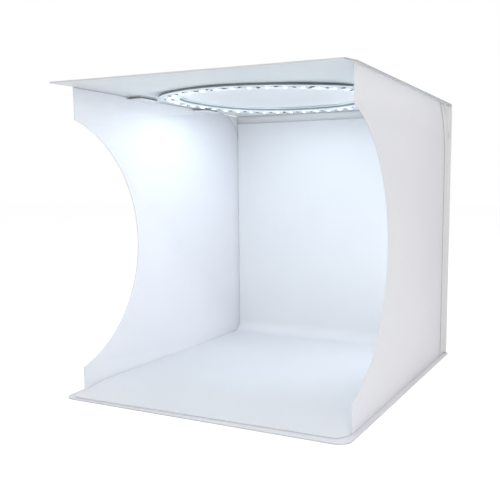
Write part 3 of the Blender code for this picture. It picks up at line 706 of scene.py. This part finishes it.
def lamp_case_look(name):
    """Pale lamp case that its own lens lights."""
    look = Look(name)
    clouds = look.noise(700.0, 2.0)
    look.set(
        Base_Color=look.tint(clouds, (0.80, 0.84, 0.86), (0.90, 0.92, 0.93)),
        Roughness=0.35 + clouds * 0.2,
        Emission_Color=(0.85, 0.95, 1.0),
        Emission_Strength=LAMP_CASE_GLOW,
    )
    return look.material


def lamp_lens_look(name):
    """Lit phosphor, brighter in the middle of each lens."""
    look = Look(name)
    radius = distance_from_ring_middle(look)
    middle = abs(radius - LAMP_CIRCLE).under(LENS_BRIGHT, LENS_SOFTNESS)
    look.set(
        Base_Color=look.tint(middle, (0.85, 0.90, 0.80), (0.95, 0.97, 0.92)),
        Roughness=0.25 + middle * 0.1,
        Emission_Color=look.tint(middle, (0.82, 0.93, 1.0), (0.97, 1.0, 1.0)),
        Emission_Strength=LAMP_GLOW,
    )
    return look.material


def moulded_plastic(name, light, dark, roughness):
    """Spark-textured moulding, slightly worn by rubbing."""
    look = Look(name)
    spark = look.noise(3500.0, 2.0)
    clouds = look.noise(110.0, 4.0)
    look.set(
        Base_Color=look.tint(clouds, dark, light),
        Roughness=roughness + spark * 0.12 - clouds * 0.08,
        Specular_IOR_Level=0.4,
        Normal=look.bump(spark, MOULDED_SPARK, 0.5),
    )
    return look.material


def plated_metal(name, light, dark, roughness):
    """Tin or nickel plate with drawn lines."""
    look = Look(name)
    lines = look.noise(900.0, 3.0, stretch=(6.0, 1.0, 6.0))
    spots = look.noise(400.0, 4.0).above(0.62, 0.06)
    look.set(
        Base_Color=look.tint(lines + spots * 0.3, light, dark),
        Metallic=1.0,
        Roughness=roughness + lines * 0.15 + spots * 0.1,
        Normal=look.bump(lines, DRAWN_LINES, 0.5),
    )
    return look.material


PALE = (0.91, 0.91, 0.935)
DULL = (0.88, 0.88, 0.91)
# cut edge tones, darker than the faces partly as painted shade
EDGE = (0.76, 0.76, 0.78)
ROOF_EDGES = ((0.66, 0.65, 0.64), (0.80, 0.84, 0.87))  # in front, and round the window
LOOKS = {
    "walls": plastic_sheet("side_wall_sheet", 0, PALE, DULL, EDGE, through=0.12, roof_shadow=0.6),
    "back": plastic_sheet("back_panel_sheet", 1, (0.95, 0.95, 0.96), (0.93, 0.93, 0.95), EDGE, through=0.12),
    "floor": plastic_sheet("base_sheet", 2, PALE, DULL, (0.62, 0.64, 0.65)),
    "roof": plastic_sheet(
        "roof_sheet", 2, (0.815, 0.845, 0.86), (0.775, 0.81, 0.83), (0.46, 0.44, 0.43),
        through=0.42, other_edges=ROOF_EDGES,
    ),
    "cover": plastic_sheet(
        "cover_sheet", 2, (0.815, 0.835, 0.855), (0.785, 0.805, 0.825), EDGE, through=0.55
    ),
    "backdrop": plastic_sheet(
        "backdrop_sheet_face", 0, (0.88, 0.885, 0.905), (0.855, 0.86, 0.885), (0.80, 0.80, 0.82),
        roughness=0.5, through=0.12, bent=True,
    ),
    "tape": woven_tape("hinge_tape", (0.88, 0.875, 0.87), (0.73, 0.725, 0.72), (0.40, 0.40, 0.41)),
    "hooks": fastener_face("hook_face", (0.36, 0.36, 0.37), (0.22, 0.22, 0.23), 1100.0, HOOK_PILE),
    "loops": fastener_face("loop_face", (0.80, 0.80, 0.80), (0.55, 0.55, 0.56), 900.0, LOOP_PILE),
    "foam": foam("spacer_foam"),
    "board": lamp_board_look("lamp_board"),
    "lamp_case": lamp_case_look("lamp_case"),
    "lamp_lens": lamp_lens_look("lamp_lens"),
    "chip": moulded_plastic("chip_ceramic", (0.10, 0.10, 0.11), (0.05, 0.05, 0.055), 0.35),
    "tin": plated_metal("chip_tin", (0.46, 0.46, 0.47), (0.32, 0.32, 0.33), 0.42),
    "housing": moulded_plastic("inlet_moulding", (0.80, 0.80, 0.82), (0.74, 0.74, 0.77), 0.45),
    "socket": plated_metal("socket_plate", (0.72, 0.72, 0.74), (0.50, 0.50, 0.53), 0.28),
    "tongue": moulded_plastic("tongue_moulding", (0.045, 0.045, 0.05), (0.02, 0.02, 0.024), 0.4),
    "lead": moulded_plastic("lead_jacket", (0.82, 0.82, 0.83), (0.72, 0.72, 0.74), 0.5),
}


# Panels


def sheet_panel(node, body, look):
    """A panel's own sheet, welded from the frame's, with its cut edges broken."""
    piece = bpy.data.objects.new(node + "_cut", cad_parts[node].data.copy())
    bpy.context.scene.collection.objects.link(piece)
    pick_all(piece)
    bpy.ops.mesh.remove_doubles(threshold=WELD)
    done_editing()
    break_edges(piece, PANEL_EDGE)
    smooth(piece)
    return finish_piece(piece, look, [node], body)


def crease_roof(roof):
    """Keeps the fold sharp where the roof bends over the walls' front edges."""

    def on_fold(edge):
        ends = [roof.data.vertices[number].co.y for number in edge.vertices]
        return all(abs(y - WALL_LOW.y) < FOLD_REACH for y in ends)

    pick(roof, "EDGE", on_fold)
    bpy.ops.mesh.mark_sharp()
    done_editing()


def dress_panels():
    sheet_panel("base_board", "base", LOOKS["floor"])
    sheet_panel("back_panel", "back", LOOKS["back"])
    for side in ("left", "right"):
        sheet_panel(side + "_wall", side + "_wall_body", LOOKS["walls"])
    crease_roof(sheet_panel("roof_panel", "roof", LOOKS["roof"]))
    sheet_panel("window_cover", "cover", LOOKS["cover"])


# Backdrop sheet


def arc_points(centre, radius, start, end, steps):
    turns = [start + (end - start) * step / steps for step in range(steps + 1)]
    return [(centre[0] + radius * math.cos(turn), centre[1] + radius * math.sin(turn)) for turn in turns]


def sheet_line():
    """The sheet's upper or front face from its front edge to its top, as (Y, Z) points."""
    low = SHEET_LOW.z + SHEET
    flap_top = corners_of("left_front_low_hook_pad")[1].z + GAP + PANEL
    high = flap_top + GAP + SHEET
    ramp = []
    for step in range(RAMP_STEPS + 1):
        rise = (1 - math.cos(math.pi * step / RAMP_STEPS)) / 2
        ramp.append((BASE_LOW.y + SHEET_RAMP * step / RAMP_STEPS, low + (high - low) * rise))
    front = SHEET_HIGH.y - SHEET
    middle = (front - SHEET_SWEEP, high + SHEET_SWEEP)
    sweep = arc_points(middle, SHEET_SWEEP, -math.pi / 2, 0, SWEEP_STEPS)
    shares = [step / STRAIGHT_STEPS for step in range(1, STRAIGHT_STEPS + 1)]
    floor = [(ramp[-1][0] + (sweep[0][0] - ramp[-1][0]) * share, high) for share in shares[:-1]]
    upright = [(front, sweep[-1][1] + (SHEET_HIGH.z - sweep[-1][1]) * share) for share in shares]
    return ramp + floor + sweep + upright


def line_length(points):
    return sum(math.dist(a, b) for a, b in zip(points, points[1:]))


def make_backdrop():
    """The loose sheet: it lies over the wall flaps, sweeps up at the rear and hangs by its loop strip."""
    line = sheet_line()
    half = WALL_HIGH.x - PANEL - SHEET_BESIDE
    width = 2 * half

    def point(u, v):
        y, z = line[round(v * (len(line) - 1))]
        x = half * (2 * u - 1)
        edge = SHEET_FRONT_LEFT + (SHEET_FRONT_RIGHT - SHEET_FRONT_LEFT) * u
        into_corner = min(max(0, abs(x) - (half - SHEET_FRONT_CORNER)), SHEET_FRONT_CORNER)
        edge += SHEET_FRONT_CORNER - math.sqrt(SHEET_FRONT_CORNER**2 - into_corner**2)
        ramp_end = BASE_LOW.y + SHEET_RAMP
        if y < ramp_end:
            y = ramp_end - (ramp_end - y) * (SHEET_RAMP - edge) / SHEET_RAMP
        return x, y, z

    length = line_length(line) - SHEET_FRONT_LEFT
    piece = flexible_sheet("backdrop", SHEET_COLUMNS, len(line) - 1, point, (width, length), SHEET, -1)
    finish_piece(piece, LOOKS["backdrop"], ["backdrop_sheet"], "backdrop")
    print("backdrop flat", round(width, 4), round(length, 4))


# Hinge tape


def along(points, share):
    """The point at a share of the way along a line of points."""
    left = share * line_length(points)
    for a, b in zip(points, points[1:]):
        step = math.dist(a, b)
        if left <= step or b is points[-1]:
            part = min(1, left / step)
            return tuple(p + (q - p) * part for p, q in zip(a, b))
        left -= step


def no_sag(x, y):
    return 0


def cross_tape(name, line, half_length, nodes, fold, sag=no_sag):
    """A strip that runs across the tent over a hinge. Line is its section, as (Y, Z) points.

    It bends from one panel to the other. Fold is not used.
    """

    def point(u, v):
        y, z = along(line, u)
        x = half_length * (2 * v - 1)
        return x, y, z - sag(x, y)

    cut = (line_length(line), 2 * half_length)
    piece = flexible_sheet(name, CROSS_TAPE_COLUMNS, CROSS_TAPE_ROWS, point, cut, TAPE, 1)
    finish_piece(piece, LOOKS["tape"], nodes)
    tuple(fold[0])
    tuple(fold[1])
    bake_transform(piece)
    return piece


def panel_edge_tape(name, height, margin, up):
    """The tape between the back panel and the base or the roof, folded inside their right angle.

    Height is the back panel's edge and margin the face of the panel that the tape goes on to. Up is 1 at the
    foot and -1 at the head.
    """
    half_length = BACK_HIGH.x - TAPE_END
    rear = BACK_HIGH.y + SEAT
    margin_end = BASE_HIGH.y - TAPE_CLEAR
    middle = (rear + TAPE_BEND, margin + up * TAPE_BEND)
    turn = arc_points(middle, TAPE_BEND, math.pi, math.pi + up * math.pi / 2, BEND_STEPS)
    line = [(rear, height + up * TAPE_WIDTH)] + turn + [(margin_end, margin)]
    leaves = [f"{name}_hinge_strip_back_leaf", f"{name}_hinge_strip_{name}_leaf"]
    fold = ((0, rear, height + up * BEND_BEFORE), (0, rear + BEND_AFTER, margin))
    return cross_tape(
        name + "_hinge_tape", line, half_length, leaves, fold
    )


def make_panel_edge_tapes():
    panel_edge_tape("base", BACK_LOW.z, BASE_HIGH.z + SEAT, 1)
    roof_under = BACK_HIGH.z + (BACK_LOW.z - BASE_HIGH.z) - SEAT
    turn_faces(panel_edge_tape("roof", BACK_HIGH.z, roof_under, -1))


def make_cover_tape():
    """The cover's tape, which sags with the roof."""
    fold = COVER_REAR
    on_roof = WALL_HIGH.z + GAP + PANEL + SEAT
    on_cover = on_roof + GAP + PANEL
    line = [
        (fold - TAPE_WIDTH, on_cover),
        (fold - COVER_BEND_BEFORE, on_cover),
        (fold + COVER_STEP, on_cover - COVER_STEP),
        (fold + COVER_STEP_FOOT, on_roof + COVER_STEP),
        (fold + COVER_STEP_END, on_roof),
        (fold + TAPE_WIDTH, on_roof),
    ]
    half_length = corners_of("cover_hinge_strip_roof_leaf")[1].x
    leaves = ["cover_hinge_strip_cover_leaf", "cover_hinge_strip_roof_leaf"]
    height = on_cover - roof_sag(0, fold)
    bend = ((0, fold - COVER_BEND_BEFORE, height), (0, fold + BEND_AFTER, height))
    piece = cross_tape(
        "cover_hinge_tape", line, half_length, leaves, bend, roof_sag
    )
    turn_faces(piece)


def turn_faces(piece):
    """Turns the faces outwards."""
    pick_all(piece)
    bpy.ops.mesh.normals_make_consistent(inside=False)
    done_editing()


class WallTape:
    """A side wall's tape: it fills the wall's round corner and folds outwards onto the back's margin."""

    foot = WALL_LOW.z + TAPE_OVER_FOOT
    head = WALL_HIGH.z - TAPE_UNDER_HEAD
    face = WALL_HIGH.x + SEAT
    margin = BACK_LOW.y - SEAT
    fold_start = margin - TAPE_BEND
    end = BACK_HIGH.x - TAPE_CLEAR
    wall_columns = 26
    fold_columns = 6
    columns = wall_columns + fold_columns + 1
    rows = 96

    def __init__(self, side):
        self.side = side
        self.spread = WALL_CORNER - TAPE_WIDTH
        self.front_radius = (self.spread**2 + TAPE_TAPER**2) / (2 * self.spread)

    def height(self, v):
        return self.foot + (self.head - self.foot) * v

    def front(self, z):
        """Where its front edge lies at a height. It curves forward towards the head."""
        rise = max(0, z - (self.head - TAPE_TAPER))
        forward = self.front_radius - math.sqrt(self.front_radius**2 - rise**2)
        return WALL_HIGH.y - TAPE_WIDTH - forward

    def outer(self, z):
        """Where its edge on the margin lies at a height, with a round top corner."""
        rise = min(TAPE_OUTER_CORNER, max(0, z - (self.head - TAPE_OUTER_CORNER)))
        return self.end - TAPE_OUTER_CORNER + math.sqrt(TAPE_OUTER_CORNER**2 - rise**2)

    def hollow(self, y, z):
        """How far it sinks in between the wall's round corner and the fold."""
        corner_foot = WALL_HIGH.z - WALL_CORNER
        if z < corner_foot:
            return 0
        past_wall = math.dist((y, z), (WALL_HIGH.y - WALL_CORNER, corner_foot)) - WALL_CORNER
        before_fold = self.fold_start - y
        return max(0, min(TAPE_HOLLOW, HOLLOW_SLOPE_SHARE * past_wall, HOLLOW_SLOPE_SHARE * before_fold))

    def point(self, u, v):
        z = self.height(v)
        column = round(u * self.columns)
        if column <= self.wall_columns:
            front = self.front(z)
            y = front + (self.fold_start - front) * column / self.wall_columns
            return self.side * (self.face - self.hollow(y, z)), y, z
        if column <= self.wall_columns + self.fold_columns:
            turn = math.pi / 2 * (column - self.wall_columns) / self.fold_columns
            x = self.face + TAPE_BEND * (1 - math.cos(turn))
            return self.side * x, self.fold_start + TAPE_BEND * math.sin(turn), z
        return self.side * self.outer(z), self.margin, z

    def cut_place(self, u, v):
        """Its place when the tape is flat, measured from the front edge and the foot."""
        z = self.height(v)
        column = round(u * self.columns)
        on_wall = self.fold_start - self.front(z)
        if column <= self.wall_columns:
            return on_wall * column / self.wall_columns, z - self.foot
        round_fold = math.pi / 2 * TAPE_BEND
        if column <= self.wall_columns + self.fold_columns:
            return on_wall + round_fold * (column - self.wall_columns) / self.fold_columns, z - self.foot
        return on_wall + round_fold + self.outer(z) - self.face - TAPE_BEND, z - self.foot


def make_wall_tapes():
    for name, side in (("left", -1), ("right", 1)):
        shape = WallTape(side)
        widths = [shape.cut_place(1, row / shape.rows)[0] for row in range(shape.rows + 1)]
        length = shape.head - shape.foot
        cut = (max(widths), length)
        piece = flexible_sheet(
            name + "_wall_tape", shape.columns, shape.rows, shape.point, cut, TAPE, side, shape.cut_place
        )
        leaves = [name + "_hinge_strip_wall_leaf", name + "_hinge_strip_back_leaf"]
        finish_piece(piece, LOOKS["tape"], leaves)
        sum(widths) / len(widths) * length
        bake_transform(piece)
        print(name, "tape flat", [round(size, 4) for size in cut])


# Hook and loop pads


def pad_piece(node, body, look, grip_side):
    """A fastener pad: cloth with rounded corners, and tufts that stand up on the face that grips.

    Grip_side is 1 or -1, along the pad's thin axis.
    """
    low, high = corners_of(node)
    size, middle = high - low, (low + high) / 2
    thin = min(range(3), key=lambda axis: size[axis])
    cloth_size = Vector(size)
    cloth_size[thin] *= PAD_CLOTH_SHARE
    shift = Vector((0, 0, 0))
    shift[thin] = -grip_side * size[thin] * PAD_SHIFT_SHARE
    piece = box_piece(node + "_cloth", cloth_size, middle + shift)
    round_edges(piece, lambda edge: is_along(piece, edge, thin), PAD_CORNER, segments=4)
    pick(piece, "FACE", lambda face: face.normal[thin] * grip_side > STRAIGHT)
    bpy.ops.mesh.inset(thickness=PAD_RIM)
    move = [0.0, 0.0, 0.0]
    move[thin] = grip_side * size[thin] * PAD_CROWN_SHARE
    bpy.ops.transform.translate(value=move)
    bpy.ops.mesh.inset(thickness=PAD_CROWN_RIM)
    done_editing()
    break_edges(piece, PAD_EDGE, sharper_than=40)
    smooth(piece)
    return finish_piece(piece, look, [node], body)


def is_along(piece, edge, axis):
    """Whether an edge lies along an axis: 0, 1 or 2."""
    a, b = (piece.data.vertices[number].co for number in edge.vertices)
    step = b - a
    return abs(step[axis]) > STRAIGHT * step.length


def make_pads():
    for side in ("left", "right"):
        for end in ("front", "rear"):
            stem = f"{side}_{end}_"
            wall = side + "_wall_body"
            pad_piece(stem + "low_hook_pad", wall, LOOKS["hooks"], -1)
            pad_piece(stem + "low_loop_pad", "base", LOOKS["loops"], 1)
            pad_piece(stem + "high_hook_pad", wall, LOOKS["hooks"], 1)
            pad_piece(stem + "high_loop_pad", "roof", LOOKS["loops"], -1)
    pad_piece("backdrop_hook_strip", "back", LOOKS["loops"], -1)
    pad_piece("backdrop_loop_strip", "backdrop", LOOKS["loops"], 1)


# Lamp ring


def make_board():
    """The foam spacer and the lamp board, with the printed track that joins the lamps."""
    board_inner = BOARD_HIGH.x - BOARD_WIDTH
    inner, outer = board_inner + SPACER_INSET, corners_of("ring_spacer")[1].x
    spacer = turned_ring("foam_spacer", inner, outer, BOARD_TOP, WALL_HIGH.z + GAP, SPACER_EDGE)
    finish_piece(spacer, LOOKS["foam"], ["ring_spacer"], "roof")
    board = turned_ring("lamp_board", board_inner, BOARD_HIGH.x, BOARD_UNDER, BOARD_TOP, BOARD_EDGE)
    finish_piece(board, LOOKS["board"], ["ring_board"], "roof")
    inner, outer = LAMP_CIRCLE - TRACK_WIDTH / 2, LAMP_CIRCLE + TRACK_WIDTH / 2
    track = turned_ring("printed_track", inner, outer, BOARD_UNDER - TRACK, BOARD_UNDER, TRACK_EDGE)
    finish_piece(track, LOOKS["board"], (), "roof")


def make_lamps():
    """The lamps: a case with a shallow well, and a domed lens in it that glows."""
    middle = Vector((LAMP_CIRCLE, RING_MIDDLE.y, LAMPS_UNDER + LAMP_HIGH / 2))
    case = box_piece("lamp_case", (LAMP_LONG, LAMP_WIDE, LAMP_HIGH), middle)
    pick(case, "FACE", lambda face: face.normal.z < -STRAIGHT)
    bpy.ops.mesh.inset(thickness=LAMP_RIM)
    bpy.ops.mesh.extrude_region_move(TRANSFORM_OT_translate={"value": (0, 0, LAMP_WELL)})
    done_editing()
    round_edges(case, lambda edge: is_along(case, edge, 2), LAMP_EDGE)
    turns = [FIRST_LAMP_TURN + 2 * math.pi * number / LAMP_COUNT for number in range(LAMP_COUNT)]
    cases = let_sag(copies_round_ring(case, turns, "lamp_cases"))
    smooth(cases)
    finish_piece(cases, LOOKS["lamp_case"], ["lamp_row"], "roof")
    deselect()
    bpy.ops.mesh.primitive_uv_sphere_add(segments=12, ring_count=6, radius=LENS_RADIUS, location=middle)
    lens = bpy.context.object
    lens.scale = LENS_SHAPE_SHARES
    lens.location.z = LAMPS_UNDER + LAMP_WELL
    apply_place(lens)
    lenses = let_sag(copies_round_ring(lens, turns, "lamp_lenses"))
    smooth(lenses, degrees=60)
    finish_piece(lenses, LOOKS["lamp_lens"], (), "roof")


def chip_parts(name, offset, turn):
    """A resistor's ceramic body and its two tinned ends, slantwise on the board between two lamps."""
    middle = Vector((LAMP_CIRCLE + offset, RING_MIDDLE.y, BOARD_UNDER - CHIP_HIGH / 2))
    chip = box_piece(name, (CHIP_WIDE, CHIP_LONG, CHIP_HIGH), middle)
    pick(chip, "FACE", lambda face: face.normal.z < -STRAIGHT)
    bpy.ops.mesh.inset(thickness=CHIP_RIM)
    bpy.ops.transform.translate(value=(0, 0, -CHIP_CROWN))
    done_editing()
    end_size = (CHIP_WIDE * CHIP_END_SHARE, CHIP_END, CHIP_HIGH * CHIP_END_SHARE)
    ends = []
    for side in (-1, 1):
        place = middle + Vector((0, side * (CHIP_LONG + CHIP_END) / 2, 0))
        end = box_piece(name + "_end", end_size, place)
        round_edges(end, lambda edge: True, CHIP_RIM)
        ends.append(end)
    ends = joined(ends, name + "_ends")
    for piece in (chip, ends):
        pick_all(piece)
        bpy.ops.transform.rotate(value=turn, orient_axis="Z", center_override=middle)
        done_editing()
    return chip, ends


def make_board_chips():
    """Small resistors: outside the lamps and among them in turns, and inside them in every third gap."""
    step = 2 * math.pi / LAMP_COUNT
    gaps = [FIRST_LAMP_TURN + step * (number + 0.5) for number in range(LAMP_COUNT)]
    rows = (
        ("outer_chips", CHIP_OFFSET, CHIP_TURN, gaps[::2]),
        ("middle_chips", 0.0, -CHIP_TURN, gaps[1::2]),
        ("inner_chips", -CHIP_OFFSET * CHIP_INNER_SHARE, math.pi / 2 - CHIP_TURN, gaps[::3]),
    )
    for name, offset, turn, turns in rows:
        chip, ends = chip_parts(name, offset, turn)
        chips = let_sag(copies_round_ring(chip, turns, name))
        finish_piece(chips, LOOKS["chip"], (), "roof")
        ends = let_sag(copies_round_ring(ends, turns, name + "_ends"))
        smooth(ends)
        finish_piece(ends, LOOKS["tin"], (), "roof")


# Power inlet


def make_inlet_tongue():
    """The socket's tongue with its contacts."""
    low, high = corners_of("inlet_socket")
    size, middle = high - low, (low + high) / 2
    tongue = box_piece("inlet_tongue", size * Vector(TONGUE_SHARES), middle)
    pick(tongue, "FACE", lambda face: face.normal.y > STRAIGHT)
    bpy.ops.mesh.inset(thickness=size.z * TONGUE_TIP_SHARE)
    bpy.ops.transform.translate(value=(0, size.y * TONGUE_TIP_SHARE, 0))
    done_editing()
    break_edges(tongue, TONGUE_EDGE, sharper_than=40)
    smooth(tongue)
    finish_piece(tongue, LOOKS["tongue"], (), "roof")
    contacts = []
    for number in range(CONTACT_COUNT):
        aside = CONTACT_SPACING_SHARE * (number - (CONTACT_COUNT - 1) / 2)
        place = middle + size * Vector((aside, CONTACT_OUT_SHARE, -CONTACT_DROP_SHARE))
        contact = box_piece("contact", size * Vector(CONTACT_SHARES), place)
        round_edges(contact, lambda edge: is_along(contact, edge, 1), CONTACT_EDGE, segments=1)
        contacts.append(contact)
    finish_piece(joined(contacts, "inlet_contacts"), LOOKS["tin"], (), "roof")


def dress_frame_nodes():
    """Frame nodes whose shape is right as it is."""
    for node, look in (("inlet_housing", "housing"), ("inlet_socket", "socket"), ("inlet_lead", "lead")):
        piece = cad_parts[node]
        piece.data.materials.clear()
        piece.data.materials.append(LOOKS[look])


# Floor, light and camera


def make_floor():
    """A matt floor that glows a little to the camera, and so looks white beside the shadow."""
    deselect()
    bpy.ops.mesh.primitive_plane_add(size=FLOOR_SIZE, location=(0, 0, -FLOOR_DROP))
    floor = bpy.context.object
    floor.name = "floor"
    look = Look("floor_paint")
    look.set(
        Base_Color=(0.88, 0.88, 0.885),
        Roughness=0.9,
        Specular_IOR_Level=0.0,
        Emission_Color=(1, 1, 1),
        Emission_Strength=look.seen_directly() * FLOOR_WHITE,
    )
    floor.data.materials.append(look.material)


def make_room():
    """White to the camera and in reflections, and dimmer and warmer as light."""
    world = bpy.data.worlds.new("room")
    bpy.context.scene.world = world
    world.use_nodes = True
    room = Network(world.node_tree)
    room.tree.nodes.remove(room.tree.nodes["Background"])
    lit = room.node("Background", values={"Color": ROOM_COLOUR, "Strength": ROOM_LIGHT})
    shown = room.node("Background", values={"Color": (1, 1, 1), "Strength": 1.0})
    mixed = room.node("MixShader", values={0: room.seen_directly(), 1: lit, 2: shown})
    room.put(room.tree.nodes["World Output"].inputs["Surface"], mixed)


def light_of(kind, name, place, power, colour):
    """A light that neither the camera nor a reflection shows."""
    data = bpy.data.lights.new(name, kind)
    data.energy = power
    data.color = colour
    light = bpy.data.objects.new(name, data)
    light.location = place
    light.visible_camera = False
    light.visible_glossy = False
    bpy.context.scene.collection.objects.link(light)
    return light


def area_light(name, place, target, size, power, colour):
    """A round panel of light that faces its target."""
    light = light_of("AREA", name, place, power, colour)
    light.data.shape = "DISK"
    light.data.size = size
    light.rotation_euler = (Vector(target) - Vector(place)).to_track_quat("-Z", "Y").to_euler()
    return light


def make_soft_boxes():
    area_light(
        "front_soft_box", FRONT_BOX_PLACE, LIT_PLACE, FRONT_BOX_SIZE, FRONT_BOX_POWER, FRONT_BOX_COLOUR
    )
    area_light("top_soft_box", TOP_BOX_PLACE, LIT_PLACE, TOP_BOX_SIZE, TOP_BOX_POWER, TOP_BOX_COLOUR)


def make_wall_glow():
    """The right wall's inner side is lit by the ring and throws its light back on the left wall."""
    place = Vector((WALL_HIGH.x - WALL_GLOW_FROM_WALL, WALL_GLOW_BEHIND_MIDDLE, WALL_GLOW_HEIGHT))
    across = place - Vector((1, 0, 0))
    glow = area_light("right_wall_glow", place, across, WALL_GLOW_SIZE, WALL_GLOW_POWER, WALL_GLOW_COLOUR)
    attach(glow, "right_wall_body")


def make_lamp_lights():
    """The ring's light: discs that shine down on the floor, and bare points that light the roof and walls."""
    for number in range(LAMP_LIGHT_COUNT):
        turn = 2 * math.pi * (number + 0.5) / LAMP_LIGHT_COUNT
        x = LAMP_LIGHT_CIRCLE * math.cos(turn)
        y = RING_MIDDLE.y + LAMP_LIGHT_CIRCLE * math.sin(turn)
        place = Vector((x, y, LAMPS_UNDER - LAMP_LIGHT_DEPTH - roof_sag(x, y)))
        below = place - Vector((0, 0, 1))
        name = f"lamp_light_{number}"
        light = area_light(name, place, below, LAMP_LIGHT_SIZE, LAMP_LIGHT_POWER, LAMP_LIGHT_COLOUR)
        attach(light, "roof")
        place.z = LAMPS_UNDER - LAMP_SPILL_DEPTH - roof_sag(x, y)
        light = light_of("POINT", f"lamp_spill_{number}", place, LAMP_SPILL_POWER, LAMP_LIGHT_COLOUR)
        light.data.shadow_soft_size = LAMP_SPILL_RADIUS
        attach(light, "roof")


def make_camera():
    data = bpy.data.cameras.new("camera")
    data.lens = CAMERA_LENS
    data.sensor_width = CAMERA_SENSOR
    data.shift_x, data.shift_y = CAMERA_SHIFT
    camera = bpy.data.objects.new("camera", data)
    heading = Matrix.Rotation(math.radians(CAMERA_HEADING), 4, "Z")
    tilt = Matrix.Rotation(math.radians(90 - CAMERA_DIP), 4, "X")
    roll = Matrix.Rotation(math.radians(CAMERA_ROLL), 4, "Z")
    camera.matrix_world = Matrix.Translation(CAMERA_PLACE) @ heading @ tilt @ roll
    bpy.context.scene.collection.objects.link(camera)
    bpy.context.scene.camera = camera


make_camera()
dress_panels()
dress_frame_nodes()
make_backdrop()
make_panel_edge_tapes()
make_cover_tape()
make_wall_tapes()
make_pads()
make_board()
make_lamps()
make_board_chips()
make_inlet_tongue()
make_floor()
make_room()
make_soft_boxes()
make_wall_glow()
make_lamp_lights()
bpy.context.scene.view_settings.view_transform = "Standard"
